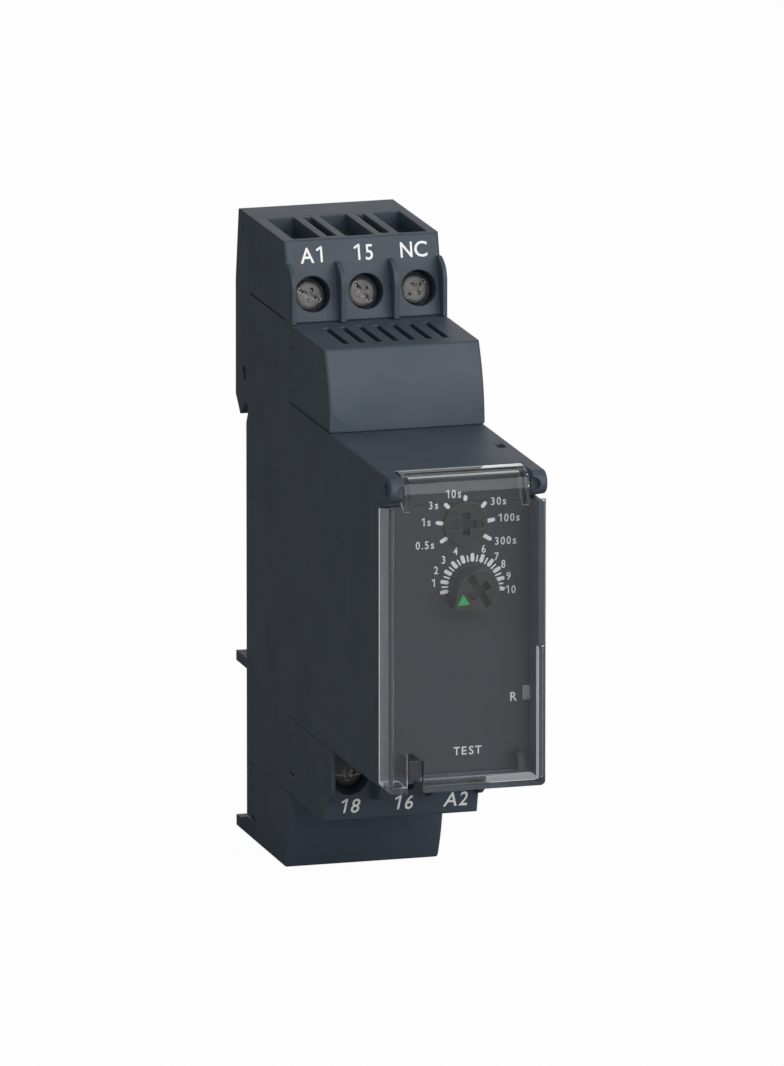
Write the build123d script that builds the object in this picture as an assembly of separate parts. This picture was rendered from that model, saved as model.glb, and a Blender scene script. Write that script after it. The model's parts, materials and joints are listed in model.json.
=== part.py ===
from build123d import *
from math import asin, atan2, cos, radians, sin, tan
import os

# Star-delta timer relay, one 22.5 mm module for a 35 mm rail.
# Frame: origin on the rail seat plane at the rail's centre line, mid width.
# X is the width, -Y points to the operator (dials), +Y to the rail, +Z is up.
# All sizes are millimetres.

os.makedirs("parts", exist_ok=True)

# Overall sizes
WIDTH = 22.5
HALF = WIDTH / 2
TOP = 45.0
STEP_OUT = 33.8
STEP_IN = 22.5
FRONT = -67.85
WALL = 1.2
INNER = HALF - WALL
SEAM = 0.1
SEAT = 0.05

# Rail interface
RAIL_HALF = 17.5
SLOT_TOP = RAIL_HALF
SLOT_FRONT = -0.8
LIP_BACK = 5.5
LIP_TIP = 3.1
RIB_TOP = -19.3
RIB_BOTTOM = -20.75
CHANNEL_HALF = 5.2
CHANNEL_DEPTH = 3.2
CHANNEL_TOP = -14.0
POCKET_HALF = 1.6
POCKET_TOP = -22.6
LEDGE_HALF = 1.3
SPRING_FOOT = -31.8
SPRING_R = 0.85
SPRING_WIRE = 0.14

# Seams of the four clipped-in blocks
OUTER_SEAM = -1.8
OUTER_SEAM_END = -4.0
OUTER_SEAM_STEP = 41.8
INNER_SEAM = -22.3
INNER_SEAM_END = -24.65
INNER_SEAM_STEP = 30.7
LABEL_SLOPE = tan(radians(15.1))

# Terminals
PITCH = WIDTH / 3 + 0.2
TERMINAL_MID = 0.1
TERMINAL_X = (TERMINAL_MID - PITCH, TERMINAL_MID, TERMINAL_MID + PITCH)
RIB_X = (TERMINAL_MID - PITCH / 2, TERMINAL_MID + PITCH / 2)
OUTER_EDGE = -19.72
INNER_EDGE = -39.5
SCREW_DROP = 7.35
SCREW_DROP_LOW = 6.35
HEAD_HOLE_R = 2.55
HEAD_R = 2.05
HEAD_DEPTH = 1.75
HEAD_THICK = 1.35
SHANK_R = 1.5
SHANK_HOLE_R = SHANK_R + SEAT
CAGE_START = 6.1
CAGE_FRONT = 1.1
CAGE_GAP = 3.7
CAGE_BACK = 0.9
CAGE_HALF = 2.4
CAGE_WALL = 0.75
CAGE_HEIGHT = 2.1
CAGE_TRAVEL = 1.9
CAGE_CLEAR = 0.25
BAR_THICK = 0.8
BAR_HALF = 1.4
BAR_START = CAGE_START + CAGE_FRONT + 0.55
BAR_TAIL = 4.9
BAR_TOP = 2.4
FUNNEL_HALF = 2.05
FUNNEL_FRONT = -18.6
FUNNEL_DEPTH = 2.5
WIRE_R = 1.75
RIB_HALF = 0.37
LOUVRE_X = 0.15
LOUVRE_PITCH = 2.4
LOUVRE_HALF = 0.45
POCKET_SLOT_HALF = 0.68
POCKET_STEP = 1.3

# Front face
PANEL_HALF = HALF - 0.55
PANEL_THICK = 1.5
PANEL_TOP = 17.4
PANEL_BOTTOM = -20.6
RANGE_AT = (1.1, 14.55)
TIME_AT = (2.14, 5.6)
RANGE_R = 3.1
RANGE_HIGH = 0.45
RANGE_SHAFT_R = 1.6
TIME_R = 2.95
TIME_BASE_R = 3.3
TIME_HIGH = 3.4
TIME_TIP = 4.3
TIME_TURN = 123.6
TIME_SHAFT_R = 1.9
SHAFT_CLEAR = 0.08
SLOT_LONG = 5.2
SLOT_SHORT = 3.4
SLOT_WIDE = 1.15
WINDOW_X = (PANEL_HALF - 1.32, PANEL_HALF - 0.15)
WINDOW_Z = (-11.0, -9.0)

# Hinge and cover
HINGE = (-71.6, 20.8)
NOSE_R = 1.7
NOSE_Y = -72.32
EAR_FOOT = 17.85
EAR_IN = HALF - 2.05
TRUNNION_R = 0.85
EAR_HOLE_R = 0.95
COVER_FRONT = -73.0
COVER_WALL = 0.8
COVER_TOP = 18.5
COVER_TOP_BACK = 17.4
COVER_BOTTOM = -22.1
HOOD_HALF = EAR_IN - 0.2
HOOD_R = 2.7
HOOD_REAR = -68.45
STIFF_WALL = 1.3
STIFF_END = -2.5
NOTCH_X = (-8.5, -6.25)
NOTCH_TOP = -16.5
LUG_X = (-8.15, -6.6)
LUG_Z = (-20.9, -17.6)
LUG_FRONT = -72.4
LUG_HOLE = (-70.6, -19.1)
LUG_HOLE_R = 0.75
LATCH_X = (7.85, 8.7)
LATCH_Z = (-20.4, -17.9)
LATCH_FRONT = -71.0
CHEEK = 0.8
CHEEK_LOW = -70.8
CHEEK_HIGH = -72.0

# Boards
BOARD = 1.2
FRONT_BOARD_REAR = -60.5
FRONT_BOARD_FRONT = FRONT_BOARD_REAR - BOARD
MAIN_BOARD_X = 6.6
LINK_BOARD_THICK = 1.0
BOARD_HALF = INNER - 0.25
LAMP_HIGH = 1.1

# Moulded edge roundings
CORNER_R = 0.35
EDGE_R = 0.4
FRONT_R = 0.45
SEAM_EDGE = 0.22


def block(x0, x1, y0, y1, z0, z1):
    """Plain box between six planes."""
    return Pos((x0 + x1) / 2, (y0 + y1) / 2, (z0 + z1) / 2) * Box(
        abs(x1 - x0), abs(y1 - y0), abs(z1 - z0)
    )


def profile(points, half):
    """Side outline given as (y, z) pairs, extruded across the width."""
    face = make_face(Polyline(*[(0, y, z) for y, z in points], close=True))
    return Solid(extrude(face, amount=half, both=True, dir=(1, 0, 0)).solids()[0].wrapped)


def rod(start, axis, radius, length):
    """Cylinder from a start point along an axis."""
    plane = Plane(origin=start, z_dir=axis)
    return plane * Cylinder(radius, length, align=(Align.CENTER, Align.CENTER, Align.MIN))


def save(name, body):
    """Write one node as STEP."""
    solids = body.solids()
    assert len(solids) == 1, (name, len(solids))
    export_step(solids[0], f"parts/{name}.step")


# Main housing
def housing_outline():
    """Side outline with the rail hook, the lower rib and the two steps."""
    return [
        (3.8, TOP),
        (OUTER_SEAM_END, TOP),
        (OUTER_SEAM_END, OUTER_SEAM_STEP),
        (OUTER_SEAM, OUTER_SEAM_STEP),
        (OUTER_SEAM, STEP_OUT),
        (INNER_SEAM_END, STEP_OUT),
        (INNER_SEAM_END, INNER_SEAM_STEP),
        (INNER_SEAM, INNER_SEAM_STEP),
        (INNER_SEAM, STEP_IN),
        (FRONT, STEP_IN),
        (FRONT, -STEP_IN + 0.5),
        (-42.5, -STEP_IN),
        (INNER_SEAM, -STEP_IN),
        (INNER_SEAM, -INNER_SEAM_STEP),
        (INNER_SEAM_END, -INNER_SEAM_STEP),
        (INNER_SEAM_END, -STEP_OUT),
        (OUTER_SEAM, -STEP_OUT),
        (OUTER_SEAM, -OUTER_SEAM_STEP),
        (OUTER_SEAM_END, -OUTER_SEAM_STEP),
        (OUTER_SEAM_END, -41.9),
        (0.0, -41.9),
        (0.0, RIB_BOTTOM),
        (LIP_BACK, RIB_BOTTOM),
        (LIP_BACK, RIB_TOP),
        (0.0, RIB_TOP),
        (0.0, 14.9),
        (SLOT_FRONT, 16.3),
        (SLOT_FRONT, SLOT_TOP),
        (0.75, SLOT_TOP),
        (LIP_TIP, 15.5),
        (LIP_BACK, 17.95),
        (LIP_BACK - 0.1, TOP - 10.4),
    ]


def housing_hollow():
    """Room inside the housing."""
    rear = -CHANNEL_DEPTH - WALL
    return profile(
        [
            (rear, STEP_OUT - WALL),
            (INNER_SEAM + WALL, STEP_OUT - WALL),
            (INNER_SEAM + WALL, STEP_IN - WALL),
            (FRONT + PANEL_THICK, STEP_IN - WALL),
            (FRONT + PANEL_THICK, PANEL_BOTTOM - SEAM),
            (-44.0, -STEP_IN + WALL),
            (INNER_SEAM + WALL, -STEP_IN + WALL),
            (INNER_SEAM + WALL, -STEP_OUT + WALL),
            (rear, -STEP_OUT + WALL),
        ],
        INNER,
    )


def ear(side):
    """Hinge ear at one side of the front top edge."""
    y, z = HINGE
    x0, x1 = sorted((side * EAR_IN, side * HALF))
    reach_y, reach_z = FRONT - NOSE_Y, z - EAR_FOOT
    distance = (reach_y ** 2 + reach_z ** 2) ** 0.5
    turn = atan2(reach_z, -reach_y) + asin(NOSE_R / distance)
    length = (distance ** 2 - NOSE_R ** 2) ** 0.5
    outline = [
        (FRONT + 2.0, z + NOSE_R),
        (FRONT + 2.0, EAR_FOOT),
        (FRONT, EAR_FOOT),
        (FRONT + length * cos(turn), EAR_FOOT + length * sin(turn)),
        (NOSE_Y, z),
        (NOSE_Y, z + NOSE_R),
    ]
    face = make_face(Polyline(*[(x0, a, b) for a, b in outline], close=True))
    body = rod((x0, NOSE_Y, z), (1, 0, 0), NOSE_R, x1 - x0)
    body += extrude(face, amount=x1 - x0, dir=(1, 0, 0))
    body -= rod((-HALF - 1, y, z), (1, 0, 0), EAR_HOLE_R, WIDTH + 2)
    body -= rod((side * (EAR_IN + 0.05), NOSE_Y - NOSE_R - 0.1, z), (0, 1, 0), 0.95, 1.25)
    return body


def cheek():
    """Forward edge of the right side wall that closes the clear cover's side."""
    shelf = COVER_BOTTOM + COVER_WALL + SEAM
    body = block(HALF - CHEEK, HALF, CHEEK_LOW, FRONT - SEAT, shelf, STIFF_END + 0.1)
    body += block(HALF - CHEEK, HALF, CHEEK_HIGH, FRONT - SEAT, STIFF_END, EAR_FOOT)
    rim = PANEL_HALF + SEAM
    return body + block(rim, HALF, CHEEK_LOW, FRONT + 0.1, shelf, EAR_FOOT)


def main_housing():
    """Tub with side walls, shelves for the blocks, hook, hinge ears and right cheek."""
    body = profile(housing_outline(), HALF) - housing_hollow()
    body -= block(-PANEL_HALF - SEAM, PANEL_HALF + SEAM, FRONT - 1, FRONT + PANEL_THICK,
                  PANEL_BOTTOM - SEAM, PANEL_TOP + SEAM)
    for side in (-1, 1):
        body += ear(side)
    body += cheek()
    body -= block(-CHANNEL_HALF, CHANNEL_HALF, -CHANNEL_DEPTH, LIP_BACK + 1, -TOP, CHANNEL_TOP)
    body += block(-LEDGE_HALF, LEDGE_HALF, -CHANNEL_DEPTH - 0.1, -1.0, SPRING_FOOT - 1.2, SPRING_FOOT)
    body -= block(INNER - 1.25, INNER - 0.05, -58.0, -55.4, STEP_IN - 2.5, STEP_IN + 1)
    for y, z, r in ((1.7, 42.3, 0.5), (1.1, 21.8, 1.0)):
        body -= rod((-HALF - 1, y, z), (1, 0, 0), r, 3.0)
        body -= rod((HALF - 2, y, z), (1, 0, 0), r, 3.0)
    for edge, sign in ((OUTER_EDGE, 1), (INNER_EDGE, -1)):
        for x in TERMINAL_X:
            body -= bar_slot(x, edge, sign)
            body -= cage_room(x, edge, sign)
    vertical = body.edges().filter_by(Axis.Y).filter_by_position(Axis.Z, STEP_IN - 0.1, STEP_IN + 0.1)
    vertical = vertical.filter_by(lambda e: abs(abs(e.center().X) - HALF) < 0.01)
    body = fillet(vertical, CORNER_R)
    rear = body.edges().filter_by(Axis.X).filter_by_position(Axis.Z, TOP - 0.01, TOP + 0.01)
    return fillet(rear.sort_by(Axis.Y)[-1:], EDGE_R)


# Terminal frames
def terminal_plane(x, edge, sign):
    """Frame at a screw: z runs into the block, y runs along the sloped face."""
    slope = radians(15.1)
    top, drop = (TOP, SCREW_DROP) if sign > 0 else (-STEP_OUT, SCREW_DROP_LOW)
    z = top - sign * drop
    y = edge - drop * LABEL_SLOPE
    inward = (0, cos(slope), -sign * sin(slope))
    return Plane(origin=(x, y, z), x_dir=(1, 0, 0), z_dir=inward)


def along(plane, sign, half_x, u0, u1, s0, s1):
    """Box in a terminal frame; u points to the wire side."""
    up = plane.y_dir.Z * sign
    a, b = (u0, u1) if up > 0 else (-u1, -u0)
    return plane * Pos(0, (a + b) / 2, (s0 + s1) / 2) * Box(2 * half_x, b - a, s1 - s0)


def cage_room(x, edge, sign):
    """Room in which one clamp cage travels."""
    plane = terminal_plane(x, edge, sign)
    length = CAGE_FRONT + CAGE_GAP + CAGE_BACK
    low = CAGE_START - CAGE_TRAVEL - CAGE_CLEAR
    high = CAGE_START + length + CAGE_CLEAR
    return along(plane, sign, CAGE_HALF + CAGE_CLEAR, -CAGE_HEIGHT - CAGE_CLEAR,
                 CAGE_HEIGHT + CAGE_CLEAR, low, high)


def bar_slot(x, edge, sign):
    """Narrow passage that holds one contact bar."""
    plane = terminal_plane(x, edge, sign)
    return along(plane, sign, BAR_HALF + SEAT, -BAR_TAIL - 1, BAR_TOP + SEAT,
                 BAR_START - SEAT, BAR_START + BAR_THICK + SEAT)


def round_front(body, edge, outer, shelf):
    """Round a block's outer front edge and the two side edges of its front face."""
    across = body.edges().filter_by(Axis.X).filter_by_position(Axis.Z, outer - 0.01, outer + 0.01)
    sides = [e for e in body.edges() if e.center().Y < edge - 0.01 and e.length > abs(outer - shelf) - 0.5
             and abs(abs(e.center().X) - HALF) < 0.01 and abs(e.center().Z - (outer + shelf) / 2) < 1.0]
    return fillet(across.sort_by(Axis.Y)[:1] + ShapeList(sides), FRONT_R)


def break_seams(body, seam, shelf):
    """Chamfer a block's side edges along its seams with the housing."""
    edges = [e for e in body.edges() if abs(abs(e.center().X) - HALF) < 0.01
             and (e.center().Y > seam - 3.0 and e.length < 12.0 or abs(e.center().Z - shelf) < 0.01)
             and abs(e.tangent_at(0.5).X) < 0.5]
    return chamfer(edges, SEAM_EDGE)


# Terminal blocks
def terminal_block(edge, sign, seam, seam_end, seam_step, top, shelf):
    """Block with three wire funnels, three screw holes and the ribs between them."""
    def z_at(depth):
        return sign * (abs(top) - depth)

    height = abs(top) - abs(shelf) - SEAM
    back_step = abs(top) - seam_step
    outline = [
        (seam_end - SEAM, z_at(0)),
        (edge, z_at(0)),
        (edge - height * LABEL_SLOPE, z_at(height)),
        (seam - SEAM, z_at(height)),
        (seam - SEAM, z_at(back_step + SEAM)),
        (seam_end - SEAM, z_at(back_step + SEAM)),
    ]
    body = break_seams(profile(outline, HALF), seam, z_at(height))
    body = round_front(body, edge, z_at(0), z_at(height))
    rib_front = edge - 4.4
    rib_nose = Spline((0, edge - 1.6, z_at(3.1)), (0, edge - 3.2, z_at(3.8)), (0, rib_front, z_at(6.1)),
                      tangents=((0, -1, -0.2 * sign), (0, 0, -sign)))
    rib_rest = Polyline((0, rib_front, z_at(6.1)), (0, rib_front, z_at(height)),
                        (0, edge - 0.5, z_at(height)), (0, edge - 0.5, z_at(3.1)),
                        (0, edge - 1.6, z_at(3.1)))
    rib = make_face([rib_nose, rib_rest])
    rib_x = [-HALF + 0.3, *RIB_X, HALF - 0.3]
    rib_half = [0.3, RIB_HALF, RIB_HALF, 0.3]
    for x, half in zip(rib_x, rib_half):
        body += Pos(x, 0, 0) * extrude(rib, amount=half, both=True, dir=(1, 0, 0))
    funnel_front = edge + (FUNNEL_FRONT - OUTER_EDGE)
    funnel_back = seam_end - 0.35
    for x in TERMINAL_X:
        plane = terminal_plane(x, edge, sign)
        body -= block(x - FUNNEL_HALF, x + FUNNEL_HALF, funnel_front, funnel_back,
                      z_at(FUNNEL_DEPTH), z_at(-1))
        wire_s = BAR_START + BAR_THICK + 1.2
        body -= plane * Pos(0, 0, wire_s) * Rot(-90 * (1 if plane.y_dir.Z * sign > 0 else -1), 0, 0) * \
            Cylinder(WIRE_R, 12, align=(Align.CENTER, Align.CENTER, Align.MIN))
        body -= plane * Cylinder(HEAD_HOLE_R, 2 * (HEAD_DEPTH + HEAD_THICK + 0.05))
        body -= plane * Cylinder(SHANK_HOLE_R, 12)
        body -= cage_room(x, edge, sign)
        body -= bar_slot(x, edge, sign)
    for x in RIB_X:
        body -= block(x - POCKET_SLOT_HALF, x + POCKET_SLOT_HALF, funnel_front + 0.6, funnel_back - 0.5,
                      z_at(POCKET_STEP), z_at(-1))
        body -= block(x - POCKET_SLOT_HALF, x + POCKET_SLOT_HALF, funnel_front + 0.6, funnel_back - 2.0,
                      z_at(FUNNEL_DEPTH + 1.5), z_at(-1))
    return body


def terminal_screw(x, edge, sign):
    """Clamp screw with a combined cross and slot recess."""
    plane = terminal_plane(x, edge, sign)
    reach = BAR_START - SEAT - HEAD_DEPTH - HEAD_THICK
    head = plane * Pos(0, 0, HEAD_DEPTH) * Cylinder(
        HEAD_R, HEAD_THICK, align=(Align.CENTER, Align.CENTER, Align.MIN))
    shank = plane * Pos(0, 0, HEAD_DEPTH + HEAD_THICK) * Cylinder(
        SHANK_R, reach, align=(Align.CENTER, Align.CENTER, Align.MIN))
    body = head + shank
    rim = body.edges().filter_by(GeomType.CIRCLE).filter_by(lambda e: abs(e.radius - HEAD_R) < 0.01)
    outer = sorted(rim, key=lambda e: plane.to_local_coords(e.center()).Z)[:1]
    body = fillet(outer, 0.3)
    slot = plane * Pos(0, 0, HEAD_DEPTH) * Box(3.9, 0.65, 1.4)
    cross = plane * Pos(0, 0, HEAD_DEPTH) * Box(0.75, 2.3, 1.6)
    return body - slot - cross


def clamp_cage(x, edge, sign):
    """Steel cage that is drawn towards the screw head."""
    plane = terminal_plane(x, edge, sign)
    length = CAGE_FRONT + CAGE_GAP + CAGE_BACK
    body = along(plane, sign, CAGE_HALF, -CAGE_HEIGHT, CAGE_HEIGHT, CAGE_START, CAGE_START + length)
    body -= along(plane, sign, CAGE_HALF - CAGE_WALL, -CAGE_HEIGHT - 1, CAGE_HEIGHT + 1,
                  CAGE_START + CAGE_FRONT, CAGE_START + CAGE_FRONT + CAGE_GAP)
    body -= plane * Pos(0, 0, CAGE_START) * Cylinder(SHANK_HOLE_R, 3)
    return body


def contact_bar(x, edge, sign):
    """Tinned bar the wire is clamped on; its tail reaches the link board."""
    plane = terminal_plane(x, edge, sign)
    return along(plane, sign, BAR_HALF, -BAR_TAIL, BAR_TOP, BAR_START, BAR_START + BAR_THICK)


# Blank blocks
def blank_block(edge, sign, seam, seam_end, seam_step, top, shelf, louvres):
    """Hollow cap with a bowed front and a row of louvre slots."""
    height = abs(top) - abs(shelf) - SEAM
    back_step = abs(top) - seam_step

    def z_at(depth):
        return sign * (abs(top) - depth)

    bow = ThreePointArc((0, edge, z_at(0)), (0, edge - 2.1, z_at(5.2)), (0, edge - 2.95, z_at(height)))
    rest = Polyline(
        (0, edge - 2.95, z_at(height)),
        (0, seam - SEAM, z_at(height)),
        (0, seam - SEAM, z_at(back_step + SEAM)),
        (0, seam_end - SEAM, z_at(back_step + SEAM)),
        (0, seam_end - SEAM, z_at(0)),
        (0, edge, z_at(0)))
    face = make_face([bow, rest])
    body = Solid(extrude(face, amount=HALF, both=True, dir=(1, 0, 0)).solids()[0].wrapped)
    body = break_seams(body, seam, z_at(height))
    body = round_front(body, edge, z_at(0), z_at(height))
    crown = 150.0
    keep = rod((0, edge - 3.15 + crown, z_at(-2)), (0, 0, -sign), crown, height + 4)
    keep += block(-HALF - 1, HALF + 1, edge + 2.0, edge + 60, -60, 60)
    body = body & keep
    hollow = [
        (seam_end - SEAM - WALL, z_at(WALL)),
        (edge + 0.6, z_at(WALL)),
        (edge - 1.0, z_at(5.2)),
        (edge - 1.6, z_at(height + 1)),
        (seam_end - SEAM - WALL, z_at(height + 1)),
    ]
    body -= profile(hollow, INNER)
    for index in range(louvres):
        x = LOUVRE_X + (index - (louvres - 1) / 2) * LOUVRE_PITCH
        body -= block(x - LOUVRE_HALF, x + LOUVRE_HALF, edge + 3.3, seam_end - SEAM - WALL - 0.4,
                      z_at(-1), z_at(WALL + 1))
    return body


# Front panel, window and dials
def front_panel():
    """Inset plate with the two dial holes, the window hole and four board posts."""
    y0, y1 = FRONT, FRONT + PANEL_THICK
    body = block(-PANEL_HALF, PANEL_HALF, y0, y1, PANEL_BOTTOM, PANEL_TOP)
    for (x, z), r in ((RANGE_AT, RANGE_SHAFT_R), (TIME_AT, TIME_SHAFT_R)):
        body -= rod((x, FRONT - 1, z), (0, 1, 0), r + SHAFT_CLEAR, 5)
    body -= block(WINDOW_X[0] - SEAT, WINDOW_X[1] + SEAT, y0 - 1, y1 + 1,
                  WINDOW_Z[0] - SEAT, WINDOW_Z[1] + SEAT)
    post_end = FRONT_BOARD_FRONT
    for x, z in ((-8.3, 14.6), (-8.3, -17.5), (8.3, 15.4), (8.3, -17.5)):
        body += rod((x, y1 - 0.2, z), (0, 1, 0), 1.2, post_end - y1 + 0.2)
    lug = block(LUG_X[0], LUG_X[1], LUG_FRONT, FRONT + 0.1, LUG_Z[0] + 0.4, LUG_Z[1])
    lug -= rod((LUG_X[0] - 1, *LUG_HOLE), (1, 0, 0), LUG_HOLE_R, 4)
    latch = block(*LATCH_X, LATCH_FRONT, FRONT + 0.1, *LATCH_Z)
    top = latch.edges().filter_by(Axis.X).filter_by_position(Axis.Z, LATCH_Z[1] - 0.01, LATCH_Z[1] + 0.01)
    return body + lug + chamfer(top.sort_by(Axis.Y)[:1], 0.8)


def cross_slot(x, z, front, turn, depth):
    """Screwdriver slots of a dial."""
    long = Box(SLOT_LONG, 2 * depth, SLOT_WIDE)
    short = Box(SLOT_WIDE, 2 * depth, SLOT_SHORT)
    return Pos(x, front, z) * Rot(0, turn, 0) * (long + short)


def range_knob():
    """Flat seven-position selector with a raised arrow."""
    x, z = RANGE_AT
    face = FRONT - RANGE_HIGH
    body = rod((x, FRONT - 0.02, z), (0, -1, 0), RANGE_R, RANGE_HIGH - 0.02)
    body += rod((x, FRONT - 0.1, z), (0, 1, 0), RANGE_SHAFT_R, FRONT_BOARD_FRONT - FRONT - 0.9)
    tip = make_face(Polyline((x, face, z + 2.9), (x + 1.45, face, z + 1.45),
                             (x - 1.45, face, z + 1.45), close=True))
    body += extrude(tip, amount=0.15, dir=(0, -1, 0))
    return body - cross_slot(x, z - 0.1, face, 0, 1.0)


def time_knob():
    """Raised dial with a drop-shaped pointer that rests just below zero."""
    x, z = TIME_AT
    face = FRONT - TIME_HIGH
    turn = radians(TIME_TURN)
    axis = (-sin(turn), cos(turn))
    tip = (x + TIME_TIP * axis[0], z + TIME_TIP * axis[1])
    reach = (TIME_TIP ** 2 - TIME_R ** 2) ** 0.5
    spread = atan2(TIME_R, reach)
    back = atan2(-axis[1], -axis[0])
    sides = []
    for sign in (1, -1):
        angle = back + sign * spread
        sides.append((tip[0] + reach * cos(angle), tip[1] + reach * sin(angle)))
    drop = make_face(Polyline((tip[0], face, tip[1]), (sides[0][0], face, sides[0][1]),
                              (x, face, z), (sides[1][0], face, sides[1][1]), close=True))
    body = rod((x, face, z), (0, 1, 0), TIME_R, TIME_HIGH - 0.02)
    body += extrude(drop, amount=TIME_HIGH - 0.42, dir=(0, 1, 0))
    body += rod((x, FRONT - 0.42, z), (0, 1, 0), TIME_BASE_R, 0.4)
    body += rod((x, FRONT - 0.1, z), (0, 1, 0), TIME_SHAFT_R, FRONT_BOARD_FRONT - FRONT - 0.9)
    return body - cross_slot(x, z, face, 180 - TIME_TURN, 1.2)


def light_window():
    """Clear light guide from the lamp to the panel face."""
    body = block(WINDOW_X[0], WINDOW_X[1], FRONT, FRONT + PANEL_THICK, WINDOW_Z[0], WINDOW_Z[1])
    body += block(WINDOW_X[0], INNER - 0.1, FRONT + PANEL_THICK - 0.1, FRONT_BOARD_FRONT - LAMP_HIGH - 0.2,
                  WINDOW_Z[0] + 0.3, WINDOW_Z[1] - 0.3)
    return body


# Clear cover
def hood_outline(inset):
    """Side outline of the rounded hood between the ears."""
    y, top = COVER_FRONT + HOOD_R, STEP_IN + 0.1
    z = top - HOOD_R
    points = [(COVER_FRONT + inset, COVER_TOP - 1)]
    for step in range(0, 7):
        a = radians(180 - 15 * step)
        points.append((y + (HOOD_R - inset) * cos(a), z + (HOOD_R - inset) * sin(a)))
    return points


def clear_cover():
    """Hinged box lid with hood, trunnions and the notch for the sealing lug."""
    y_back = FRONT - SEAM
    body = profile([
        (COVER_FRONT, COVER_BOTTOM), (y_back, COVER_BOTTOM),
        (y_back, COVER_TOP_BACK), (COVER_FRONT, COVER_TOP)], HALF)
    corner = body.edges().filter_by(Axis.Y).filter_by_position(Axis.Z, COVER_BOTTOM - 0.1, COVER_BOTTOM + 0.1)
    body = fillet(corner, 0.7)
    body -= block(-HALF + STIFF_WALL, HALF - STIFF_WALL, COVER_FRONT + COVER_WALL, y_back + 1,
                  STIFF_END - 0.1, COVER_TOP + 1)
    body -= block(-HALF + COVER_WALL, HALF - COVER_WALL, COVER_FRONT + COVER_WALL, y_back + 1,
                  COVER_BOTTOM + COVER_WALL, STIFF_END)
    outer = hood_outline(0.0)
    inner = hood_outline(COVER_WALL)
    shell = outer + [(HOOD_REAR, STEP_IN + 0.1), (HOOD_REAR, STEP_IN + 0.1 - COVER_WALL)] + inner[::-1]
    body += profile(shell, HOOD_HALF)
    y, z = HINGE
    gusset = [(COVER_FRONT + 0.2, COVER_TOP - 0.9)] + outer[1:] + [
        (y + 2.2, STEP_IN + 0.05), (y + 1.4, z - 1.5), (COVER_FRONT + 0.9, COVER_TOP - 0.9)]
    for side in (-1, 1):
        middle = side * (HOOD_HALF - 0.5)
        body += Pos(middle, 0, 0) * profile(gusset, 0.5)
        start = side * (HOOD_HALF - 0.5)
        body += rod((start, y, z), (side, 0, 0), TRUNNION_R, HALF - 0.7 - HOOD_HALF + 0.5)
    notch = make_face(Polyline(
        (NOTCH_X[0], COVER_FRONT - 1, COVER_BOTTOM - 1), (NOTCH_X[0], COVER_FRONT - 1, NOTCH_TOP),
        (NOTCH_X[0] + 1.0, COVER_FRONT - 1, NOTCH_TOP),
        (NOTCH_X[1], COVER_FRONT - 1, NOTCH_TOP - 1.15),
        (NOTCH_X[1], COVER_FRONT - 1, COVER_BOTTOM - 1), close=True))
    body -= extrude(notch, amount=7, dir=(0, 1, 0))
    low = block(HALF - CHEEK - SEAM, HALF + 1, CHEEK_LOW - SEAM, y_back + 1,
                COVER_BOTTOM + COVER_WALL, STIFF_END + 0.1)
    high = block(HALF - STIFF_WALL - SEAM, HALF + 1, COVER_FRONT + COVER_WALL, y_back + 1,
                 STIFF_END - SEAM, COVER_TOP + 1)
    return body - low - high


# Rail clip and its spring
def rail_clip():
    """Sprung slide with a catch for the rail's lower edge and a pull foot."""
    half = CHANNEL_HALF - 0.2
    front = -CHANNEL_DEPTH + 0.2
    foot = profile([
        (OUTER_SEAM_END + 0.1, -42.2), (-0.2, -42.2), (3.4, -43.24), (5.55, -43.24),
        (5.55, -TOP), (OUTER_SEAM_END + 0.1, -TOP)], HALF)
    foot = fillet(foot.edges().filter_by(Axis.Y).filter_by_position(Axis.Z, -TOP - 0.01, -TOP + 0.01), EDGE_R)
    foot -= block(-2.0, 2.0, 2.0, 6.0, -44.4, -43.8)
    shank = block(-half, half, front, -0.3, -42.3, -17.9)
    catch = profile([(-0.4, -17.9), (-0.4, -21.5), (2.6, -21.5), (4.9, -19.4), (4.9, -18.3),
                     (1.3, -17.1), (1.15, -17.9)], half)
    pocket = block(-POCKET_HALF, POCKET_HALF, front - 1, -0.75, SPRING_FOOT - 1.6, POCKET_TOP)
    return foot + shank + catch - pocket


def clip_spring():
    """Compression coil behind the clip."""
    turns = 6
    length = POCKET_TOP - SPRING_FOOT - 2 * SPRING_WIRE - 2 * SEAT
    path = Helix(pitch=length / turns, height=length, radius=SPRING_R)
    start = path @ 0
    tangent = path % 0
    section = Plane(origin=start, z_dir=tangent) * Circle(SPRING_WIRE)
    coil = sweep(section, path=path, is_frenet=True)
    return Pos(0, -1.95, SPRING_FOOT + SPRING_WIRE + SEAT) * coil


# Boards and parts on them
def main_board():
    """Upright board along the right side."""
    x0, x1 = MAIN_BOARD_X, MAIN_BOARD_X + BOARD
    low = -STEP_IN + WALL + LINK_BOARD_THICK
    high = STEP_OUT - WALL - LINK_BOARD_THICK
    body = block(x0, x1, FRONT_BOARD_REAR, -5.2, low, 20.6)
    body += block(x0, x1, -20.6, -5.2, 20.5, high)
    body -= block(x0 - 1, x1 + 1, -17.2, -12.8, high - 1.3, high + 1)
    body -= block(x0 - 1, x1 + 1, -37.2, -32.4, low - 1, low + 1.5)
    return body


def front_board():
    """Board behind the dials."""
    return block(-BOARD_HALF, BOARD_HALF, FRONT_BOARD_FRONT, FRONT_BOARD_REAR, -19.6, 20.2)


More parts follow.
